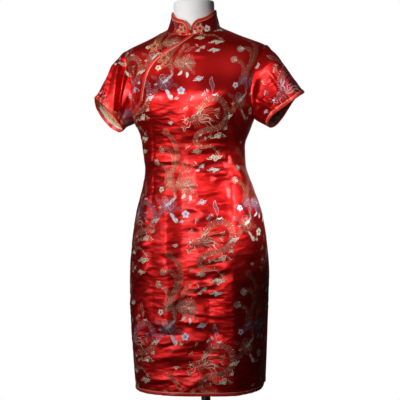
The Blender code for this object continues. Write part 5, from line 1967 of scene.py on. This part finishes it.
@dataclass(frozen=True)
class Satin:
    """A silky woven finish: its two tones, its sheen, and its threads."""

    name: str
    colour: Colour
    dark: Colour
    roughness: float
    spread: float
    metallic: float
    coat: float
    coat_roughness: float = 0.3
    threads: float = 1700.0
    depth: float = 0.00006
    crinkle: float = 0.0
    sheen: float = 0.3

    def build(self) -> Material:
        """Builds it from the shared groups: its colour, roughness and bump follow the threads.

        Returns:
            The material.
        """
        made = Surface(self.name, "UV" if self.crinkle else "Object", Metallic=self.metallic,
                       Coat_Weight=self.coat, Coat_Roughness=self.coat_roughness, Sheen_Weight=self.sheen,
                       Sheen_Roughness=0.45, Sheen_Tint=(*self.colour, 1.0))
        weave, mottle = made.group("weave", Threads=self.threads), made.group("mottle", Scale=9.0)["Tone"]
        tone = made.math("MULTIPLY_ADD", weave["Tone"], 0.6, made.math("MULTIPLY", mottle, 0.4))
        colour = made.ramp(tone, (0.3, *self.dark), (0.62, *self.colour))
        rough = made.math("MULTIPLY_ADD", weave["Tone"], self.spread, self.roughness - self.spread / 2)
        layers = [(weave["Height"], self.depth, 0.5)]
        if self.crinkle:
            layers.insert(0, (made.group("crinkle")["Height"], self.crinkle, 1.0))
        return made.done(colour, rough, *layers)


@dataclass(frozen=True)
class Thread:
    """A woven figure's thread, whose colour changes with the bands of weft up the cloth."""

    name: str
    stops: Stops
    roughness: float
    metallic: float
    repeat: float = 0.3052
    start: float = 1.11
    threads: float = 1300.0

    def build(self) -> Material:
        """Builds it: its colour is a ramp over the chart's height within one repeat.

        Returns:
            The material.
        """
        made = Surface(self.name, "UV", Metallic=self.metallic)
        height = made.math("SUBTRACT", made.add("SeparateXYZ", made.where)["Y"], self.start)
        colour = made.ramp(made.math("FRACT", made.math("DIVIDE", height, self.repeat)), *self.stops)
        weave = made.group("weave", Threads=self.threads, Float=2.0)
        shade = made.ramp(weave["Tone"], (0.25, 0.72, 0.72, 0.72), (0.7, *WHITE))
        rough = made.math("MULTIPLY_ADD", weave["Tone"], 0.15, self.roughness - 0.07)
        return made.done(made.math("MULTIPLY", colour, shade, kind="VectorMath"), rough,
                         (made.group("crinkle")["Height"], CRINKLE, 1.0), (weave["Height"], 0.00008, 0.6))


@dataclass(frozen=True)
class Reverse:
    """The inside of the brocade, where the wefts' floats lie across in pale green, cream and orange."""

    name: str
    stops: Stops
    repeat: float = 0.09

    def build(self) -> Material:
        """Builds it: a ramp up the chart, pushed about by noise drawn out across it.

        Returns:
            The material.
        """
        made = Surface(self.name, "UV", Metallic=0.1)
        push = made.math("MULTIPLY", made.noise(made.where, (14.0, 60.0, 1.0)), 0.5)
        height = made.add("SeparateXYZ", made.where)["Y"]
        band = made.math("FRACT", made.math("MULTIPLY_ADD", height, 1 / self.repeat, push))
        weave = made.group("weave", Threads=1200.0)
        shade = made.ramp(weave["Tone"], (0.3, 0.6, 0.56, 0.5), (0.6, *WHITE))
        colour = made.math("MULTIPLY", made.ramp(band, *self.stops), shade, kind="VectorMath")
        return made.done(colour, 0.5, (weave["Height"], 0.0001, 0.6))


@dataclass(frozen=True)
class Plain:
    """A plain finish for the form and its stand: two tones, a grain, and its gloss."""

    name: str
    colour: Colour
    dark: Colour
    roughness: float
    coat: float = 0.0
    grain: float = 900.0
    depth: float = 0.00004

    def build(self) -> Material:
        """Builds it, with a fine grain in its bump and a slow change of tone.

        Returns:
            The material.
        """
        made = Surface(self.name, "Object", Coat_Weight=self.coat)
        tone = made.group("mottle", Scale=10.0)["Tone"]
        grain = made.add("TexNoise", Vector=made.where, Scale=self.grain)["Fac"]
        rough = made.math("MULTIPLY_ADD", tone, 0.16, self.roughness - 0.08)
        colour = made.ramp(tone, (0.35, *self.dark), (0.65, *self.colour))
        return made.done(colour, rough, (grain, self.depth, 0.5))


FINISHES = {
    "brocade": Satin("red_brocade_ground", (0.72, 0.01, 0.009), (0.58, 0.004, 0.004), 0.42, 0.1, 0.9, 0.25,
                     0.28, crinkle=CRINKLE),
    "reverse": Reverse("brocade_reverse", (
        (0.0, 0.62, 0.3, 0.05), (0.18, 0.6, 0.24, 0.04), (0.22, 0.62, 0.68, 0.52), (0.4, 0.66, 0.7, 0.56),
        (0.46, 0.6, 0.1, 0.03), (0.6, 0.66, 0.34, 0.06), (0.7, 0.64, 0.7, 0.56), (0.92, 0.6, 0.66, 0.5),
        (1.0, 0.62, 0.3, 0.05))),
    "tape": Satin("red_satin_tape", (0.88, 0.045, 0.032), (0.76, 0.025, 0.02), 0.42, 0.06, 0.35, 0.2,
                  threads=1400.0),
    "cord": Satin("red_satin_cord", (0.8, 0.025, 0.022), (0.66, 0.012, 0.014), 0.38, 0.06, 0.35, 0.2,
                  threads=900.0, depth=0.0001),
    "gold": Satin("pale_gold_cord", (0.95, 0.62, 0.34), (0.86, 0.4, 0.22), 0.4, 0.08, 0.25, 0.1,
                  threads=900.0, depth=0.0001),
    "fill": Thread("figure_fill_thread", (
        (0.0, 0.62, 0.055, 0.04), (0.22, 0.54, 0.065, 0.045), (0.38, 0.62, 0.05, 0.04),
        (0.48, 0.44, 0.05, 0.075), (0.58, 0.58, 0.05, 0.045), (0.86, 0.56, 0.07, 0.045),
        (1.0, 0.62, 0.055, 0.04)), 0.42, 0.6),
    "line": Thread("figure_line_thread", (
        (0.0, 0.66, 0.22, 0.11), (0.2, 0.6, 0.26, 0.15), (0.36, 0.7, 0.22, 0.12), (0.44, 0.5, 0.2, 0.22),
        (0.52, 0.42, 0.18, 0.28), (0.6, 0.66, 0.22, 0.13), (0.84, 0.62, 0.28, 0.15),
        (1.0, 0.66, 0.22, 0.11)), 0.44, 0.35),
    "light": Thread("figure_bright_thread", (
        (0.0, 0.98, 0.72, 0.48), (0.16, 0.94, 0.88, 0.72), (0.34, 0.98, 0.8, 0.62),
        (0.41, 0.95, 0.86, 0.84), (0.48, 0.72, 0.68, 0.88), (0.56, 0.88, 0.84, 0.92),
        (0.64, 0.98, 0.76, 0.58), (0.82, 0.76, 0.86, 0.76), (0.92, 0.98, 0.78, 0.6),
        (1.0, 0.98, 0.72, 0.48)), 0.46, 0.15),
    "dark": Thread("figure_dark_thread", (
        (0.0, 0.22, 0.012, 0.012), (0.5, 0.16, 0.01, 0.03), (1.0, 0.22, 0.012, 0.012)), 0.45, 0.2),
    "skin": Plain("form_cover_jersey", (0.93, 0.93, 0.92), (0.88, 0.88, 0.87), 0.75, grain=1400.0),
    "black": Plain("black_powder_coat", (0.018, 0.018, 0.019), (0.01, 0.01, 0.011), 0.42, 0.1, 1100.0,
                   0.0001),
}


# ---- the studio ----
def stand_at(obj: Object, at: Sequence[float], ahead: Vector, roll: float = 0.0) -> None:
    """Puts a light or camera in the scene.

    Args:
        obj: The light or camera.
        at: Where it stands.
        ahead: The way it looks.
        roll: How far it is turned about its own axis, in radians.
    """
    obj.location = at
    obj.rotation_mode = "QUATERNION"
    obj.rotation_quaternion = ahead.to_track_quat("-Z", "Y") @ Quaternion((0, 0, 1), roll)
    bpy.context.scene.collection.objects.link(obj)


@dataclass(frozen=True)
class Softbox:
    """A rectangular area light: where it stands, what it points at, its size, power and spread."""

    name: str
    at: Triple
    aim: Triple
    size: Pair
    watts: float
    spread: float

    def build(self) -> None:
        """Puts the light in the scene."""
        light = bpy.data.lights.new(self.name, "AREA")
        light.shape, light.energy, light.spread = "RECTANGLE", self.watts, math.radians(self.spread)
        light.size, light.size_y = self.size
        stand_at(bpy.data.objects.new(self.name, light), self.at, Vector(self.aim) - Vector(self.at))


@dataclass
class Studio:
    """A pale sweep, soft light and the camera."""

    lights: tuple[Softbox, ...] = (
        Softbox("key", (-1.25, -2.8, 1.85), (0.1, 0.0, 1.38), (1.7, 0.5), 4.6, 35.0),
        Softbox("low", (-0.8, -2.7, 0.55), (0.0, 0.0, 1.2), (0.9, 0.3), 0.14, 11.0),
        Softbox("foot", (-1.3, -2.6, 1.0), (-0.04, 0.0, 0.55), (0.9, 0.4), 0.2, 8.0),
        Softbox("left", (-2.5, -1.7, 1.75), (-0.18, 0.0, 1.05), (0.35, 2.0), 0.44, 22.0),
        Softbox("right", (2.1, -1.6, 1.8), (0.15, 0.0, 0.97), (0.3, 0.12), 0.3, 6.5),
        Softbox("bust", (1.3, -2.4, 2.35), (0.09, 0.0, 1.2), (0.3, 0.12), 0.035, 6.0),
        Softbox("behind", (0.0, 2.9, 1.6), (0.0, 0.0, 1.0), (1.2, 1.2), 2.0, 120.0),
    )
    ambient: float = 0.04
    camera_at: Triple = (0.4668, -2.6462, 1.0854)
    yaw: float = -9.996
    pitch: float = -2.387
    roll: float = -1.747
    lens: float = 93.18
    film: float = 36.0
    floor_reach: float = 30.0

    def build(self) -> None:
        """Builds world, floor, lights and camera."""
        bpy.context.scene.view_settings.view_transform = "Standard"
        self.world()
        self.floor()
        for light in self.lights:
            light.build()
        self.camera()

    def world(self) -> None:
        """A plain white surround, which lights the piece only a little."""
        world = bpy.data.worlds.new("surround")
        bpy.context.scene.world = world
        world.use_nodes = True
        nodes = Nodes(world.node_tree)
        nodes.tree.nodes.clear()
        dim, bright = (nodes.add("Background", (*WHITE, 1.0), strength)[0]
                       for strength in (self.ambient, 1.0))
        seen = nodes.add("MixShader", nodes.add("LightPath")["Is Camera Ray"], dim, bright)[0]
        nodes.add("OutputWorld", Surface=seen)

    def floor(self) -> None:
        """A pale floor, bright to the eye and dim to the cloth, so that it throws no glare upwards."""
        made = Surface("pale_floor", "Object", Base_Color=(0.15, 0.15, 0.15, 1.0), Roughness=0.8)
        dim, glow = made.shader.outputs[0], made.add("Emission")[0]
        seen = made.add("MixShader", made.add("LightPath")["Is Camera Ray"], dim, glow)[0]
        made.feed(seen, made.tree.nodes["Material Output"].inputs["Surface"])
        corners = np.array([(-1, -1, 0), (1, -1, 0), (1, 1, 0), (-1, 1, 0)]) * self.floor_reach
        mesh_object("floor", (corners, [(0, 1, 2, 3)]), [made.material])

    def camera(self) -> None:
        """The camera: level with the bust, a little to the wearer's left, and slightly rolled."""
        camera = bpy.data.cameras.new("camera")
        camera.sensor_width, camera.lens = self.film, self.lens
        yaw, pitch, roll = (math.radians(angle) for angle in (self.yaw, self.pitch, self.roll))
        ahead = Vector((math.sin(yaw) * math.cos(pitch), math.cos(yaw) * math.cos(pitch), math.sin(pitch)))
        obj = bpy.data.objects.new("camera", camera)
        stand_at(obj, self.camera_at, ahead, roll)
        bpy.context.scene.camera = obj


# ---- the whole piece ----
Placer = Callable[[Array, Array, Array], Array]
STEPS = {"hem": 0.0032, "slant": 0.0026, "collar": 0.0024}
PIPING_FOOT = 1.238
KNOT_RADIUS = 0.0042


def stepped(points: Array, step: float) -> Array:
    """A chart path cut into nearly even steps."""
    return even_steps(points, max(4, round(walk(points)[-1] / step)))


@dataclass
class Cheongsam:
    """All the cloth pieces, and what is sewn on them."""

    figure: Figure
    finishes: dict[str, Material]
    trim: Trim = field(default_factory=Trim)
    pieces: dict[str, Cloth] = field(default_factory=dict)
    cloth: dict[str, Object] = field(default_factory=dict)
    sewn: dict[str, list[Object]] = field(default_factory=dict)

    def cut(self) -> None:
        """Builds every cloth piece's grid."""
        figure, slant = self.figure, Slant(self.figure)
        above_hem, below_throat, middle = 0.512, 1.384, HALF_TURN / 2
        throat = (below_throat, 1.397, 0.001), (1.397, NECK_POINT, 0.0016)

        def front_start(height: Array) -> Array:
            """Side seam, armhole, slanted edge, then neckline."""
            round_neck = middle + figure.neck_reach(height, figure.neck_front)
            upper = np.where(height <= figure.neck_front, slant.angle_at(height), round_neck)
            return np.where(height <= slant.foot, figure.side(height, figure.armhole_front), upper)

        def front_end(height: Array) -> Array:
            """Side seam, armhole, then shoulder seam."""
            return HALF_TURN - figure.side(height, figure.armhole_front)

        def yoke_end(height: Array) -> Array:
            """Under the slanted edge, then the neckline on the wearer's right."""
            hidden = slant.angle_at(np.minimum(height, figure.neck_front), slant.overlap)
            round_neck = middle - figure.neck_reach(height, figure.neck_front)
            share = smoothstep((height - 1.3885) / 0.003)
            return hidden * (1 - share) + np.minimum(hidden, round_neck) * share

        def back_start(height: Array) -> Array:
            """Side seam, armhole, shoulder seam, then neckline."""
            round_neck = middle - figure.neck_reach(height, figure.neck_back)
            return np.where(height > NECK_POINT, round_neck, figure.side(height, figure.armhole_back))

        self.pieces = {
            "front": PanelMaker(figure, True, FRONT_CREASES, 11).build(
                levels((above_hem, UNDERARM, 0.0034), (UNDERARM, slant.foot, 0.0028),
                       (slant.foot, below_throat, 0.0034), *throat),
                front_start, front_end, 142, lift=slant.lift),
            "yoke": PanelMaker(figure, True, YOKE_CREASES, 12, 0.00018).build(
                levels((1.192, below_throat, 0.0036), *throat),
                lambda height: figure.armhole(height, figure.armhole_front), yoke_end, 52, margin=False),
            "back": PanelMaker(figure, False, BACK_CREASES, 13).build(
                levels((above_hem, UNDERARM, 0.0042), (UNDERARM, SHOULDER_TIP, 0.0042),
                       (SHOULDER_TIP, NECK_POINT, 0.0024), (NECK_POINT, figure.neck_back, 0.001)),
                back_start, lambda height: HALF_TURN - back_start(height), 120),
            "collar": Collar(figure).build(),
            "sleeve_right": Sleeve(figure, False, RIGHT_CUFF, RIGHT_SLEEVE_CREASES, 14).build(),
            "sleeve_left": Sleeve(figure, True, LEFT_CUFF, LEFT_SLEEVE_CREASES, 15).build(),
        }
        self.slant = slant

    def sew(self) -> None:
        """Makes the cloth pieces' objects, with their thickness and their reverse side."""
        nodes = {"front": "front_panel", "yoke": "front_yoke", "back": "back_panel"}
        for key, piece in self.pieces.items():
            grid = piece.grid
            obj = mesh_object(f"{key}_cloth", (grid.points.reshape(-1, 3), grid.cells()),
                              [self.finishes["brocade"], self.finishes["reverse"]], grid.corner_chart())
            solid = obj.modifiers.new("thickness", "SOLIDIFY")
            solid.thickness, solid.offset, solid.material_offset = CLOTH, -1.0, 1
            self.cloth[key] = place(obj, "brocade", nodes.get(key, key))

    def add(self, key: str, name: str, made: Mesh, finish: str, slot: str, *nodes: str) -> None:
        """Makes a piece that is sewn to a cloth piece, and notes it with that one.

        Args:
            key: The cloth piece.
            name: The sewn piece's name.
            made: Its points and faces.
            finish: Its finish.
            slot: Not used; passed on to place(), which ignores it.
            nodes: The CAD nodes that it stands for.
        """
        obj = mesh_object(name, made, [self.finishes[finish]])
        self.sewn.setdefault(key, []).append(place(obj, slot, *nodes))

    def weave(self) -> None:
        """Weaves the brocade's figures on every cloth piece."""
        brocade, turn = Brocade(), self.pieces["sleeve_right"].girth
        wovens = [self.finishes[weft.name.lower()] for weft in Weft]
        for key, low, high, shift in (
            ("front", (-0.4, 0.495), (0.4, 1.6), (0.0, 0.0)),
            ("yoke", (-0.4, 1.1), (0.1, 1.6), (-0.035, 0.07)),
            ("back", (-0.4, 0.495), (0.4, 1.6), (0.062, 0.12)),
            ("sleeve_right", (-turn / 2, 0.004), (turn / 2, 0.3), (0.015, -0.035)),
            ("sleeve_left", (-turn / 2, 0.004), (turn / 2, 0.3), (0.082, 0.017)),
            ("collar", (0.0, 0.001), (0.5, 0.05), (0.06, -0.02)),
        ):
            bounds = np.array(low), np.array(high)
            points, faces, kinds, chart = brocade.weave(self.pieces[key], *bounds, shift)
            woven = mesh_object(f"{key}_figures", (points, faces), wovens, chart[faces], kinds)
            self.sewn[key] = [place(woven, "brocade")]

    def beside(self, key: str) -> Placer:
        """Places (x, height) points on a panel, by steps towards the x that is wanted.

        Args:
            key: The panel.

        Returns:
            A function of x, height and lift that gives the points.
        """
        cloth = self.pieces[key]

        def place_on(x: Array, height: Array, lift: Array) -> Array:
            """The point of the panel at that x and height."""
            u, v = x, stretch(height)
            for _ in range(6):
                u = u + (x - cloth.on(u, v, 0.0 * u)[0][:, 0])
            return cloth.on(u, v, lift)[0]

        return place_on

    def round_neck(self, x: Array, rise: Array, lift: Array) -> Array:
        """The point of the collar at that distance from the front opening and that rise."""
        collar = self.pieces["collar"]
        return collar.on(np.where(x < 0, collar.total + x, x), rise, lift)[0]

    def fasten(self) -> None:
        """Sews on the frogs of looped cord and their knots, at the slanted edge and at the collar."""
        for key, where, side, centre, size, turn, place_on in (
            ("yoke", "chest", "upper", (-0.09, 1.366), 0.0135, 0.3, self.beside("yoke")),
            ("front", "chest", "lower", (-0.061, 1.332), 0.0155, 1.1, self.beside("front")),
            ("collar", "collar", "right", (-0.024, 0.013), 0.012, 0.94, self.round_neck),
            ("collar", "collar", "left", (0.027, 0.013), 0.012, 0.0, self.round_neck),
        ):
            red, bright = Frog(centre, size, turn, place_on).cords()
            self.add(key, f"{where}_frog_{side}", red, "cord", "satin_cord", f"{where}_frog_flower_{side}")
            self.add(key, f"{where}_frog_{side}_inlay", bright, "gold", "satin_cord")
        low, high = self.beside("yoke")(np.full(2, -0.0751), np.full(2, 1.3532), np.array([0.0003, 0.01]))
        middle = np.array(HALF_TURN / 2)
        neck = self.figure.point(middle, self.figure.neckline(middle)) + (0.0, 0.0013, 0.01)
        for key, name, at, way, node in (
            ("yoke", "chest_knot", low, high - low, "chest_frog_knot"),
            ("collar", "collar_knot", neck, np.array([0.0, -1.0, 0.1]), "collar_frog_knot"),
        ):
            self.add(key, name, knot_button(at, way, KNOT_RADIUS), "cord", "satin_cord", node)

    def edges(self) -> Iterable[tuple[str, str, str, Array, bool]]:
        """The piece, tape and CAD node of each bound edge, its chart path, and whether that closes.

        The cloth lies on the path's left.

        Yields:
            One bound edge at a time.
        """
        for key in ("front", "back"):
            panel = self.pieces[key]
            below = panel.heights <= SLIT_TOP
            v = stretch(panel.heights[below])
            left, right = (np.column_stack([edge[below], v]) for edge in (panel.left, panel.right))
            hem = np.linspace(left[0], right[0], 60)[1:-1]
            path = stepped(np.concatenate([left[::-1], hem, right]), STEPS["hem"])
            yield key, f"hem_tape_{key}", f"hem_binding_{key}", path, False
        front, collar = self.pieces["front"], self.pieces["collar"]
        above = (front.heights >= self.slant.foot) & (front.heights <= self.figure.neck_front)
        edge = np.column_stack([front.left[above], stretch(front.heights[above])])
        yield "front", "slant_tape", "slant_binding", stepped(edge[::-1], STEPS["slant"]), False
        first, last = collar.distance[[0, -1]]
        rise = np.linspace(0.001, collar.high[0], 6)
        start, end = (np.column_stack([np.full(6, at), rise]) for at in (first, last))
        band = np.column_stack([collar.distance, collar.high])
        path = stepped(np.concatenate([start, band[1:-1], end[::-1]])[::-1], STEPS["collar"])
        yield "collar", "collar_tape", "collar_binding", path, False
        for side in ("right", "left"):
            u = np.linspace(0, self.pieces[f"sleeve_{side}"].girth, 180, endpoint=False)
            path = np.column_stack([u, np.zeros_like(u)])
            yield f"sleeve_{side}", f"cuff_tape_{side}", f"cuff_binding_{side}", path, True

    def bind(self) -> None:
        """Folds the satin tapes over the edges, with their piping."""
        for key, name, node, path, closed in self.edges():
            piece, trim = self.pieces[key], self.trim
            self.add(key, name, trim.tape(piece, path, closed), "tape", "satin_tape", node)
            seen = path[path[:, 1] > stretch(PIPING_FOOT)] if name == "slant_tape" else path
            cords = [trim.piping(piece, seen, 1.04, closed)]
            if key == "collar":
                cords.append(trim.piping(piece, path, 0.05, closed, 0.0016))
            self.add(key, f"{name}_piping", joined(cords), "gold", "satin_cord")

    def declare(self) -> None:
        """Works out the flat width, length and area of every cloth piece, and keeps none of them."""
        for key, piece in self.pieces.items():
            width, length, area = (round(float(size), 4) for size in piece.cut())


def main() -> None:
    """Builds the sub-assemblies in order, then the studio."""
    logging.basicConfig(level=logging.INFO, format="%(name)s: %(message)s")
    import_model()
    for build in (weave_group, mottle_group, crinkle_group):
        build()
    finishes = {key: finish.build() for key, finish in FINISHES.items()}
    dress = Cheongsam(Figure(), finishes)
    for step in (dress.cut, dress.sew, dress.weave, dress.bind, dress.fasten, dress.declare):
        step()
    form = DressForm(Figure())
    place(mesh_object("form_cover", form.skin(), [finishes["skin"]]), "form_skin", "form_torso")
    for name, (made, node) in form.stand().items():
        place(mesh_object(name, made, [finishes["black"]]), "stand_black", node)
    Studio().build()


if __name__ == "__main__":
    main()
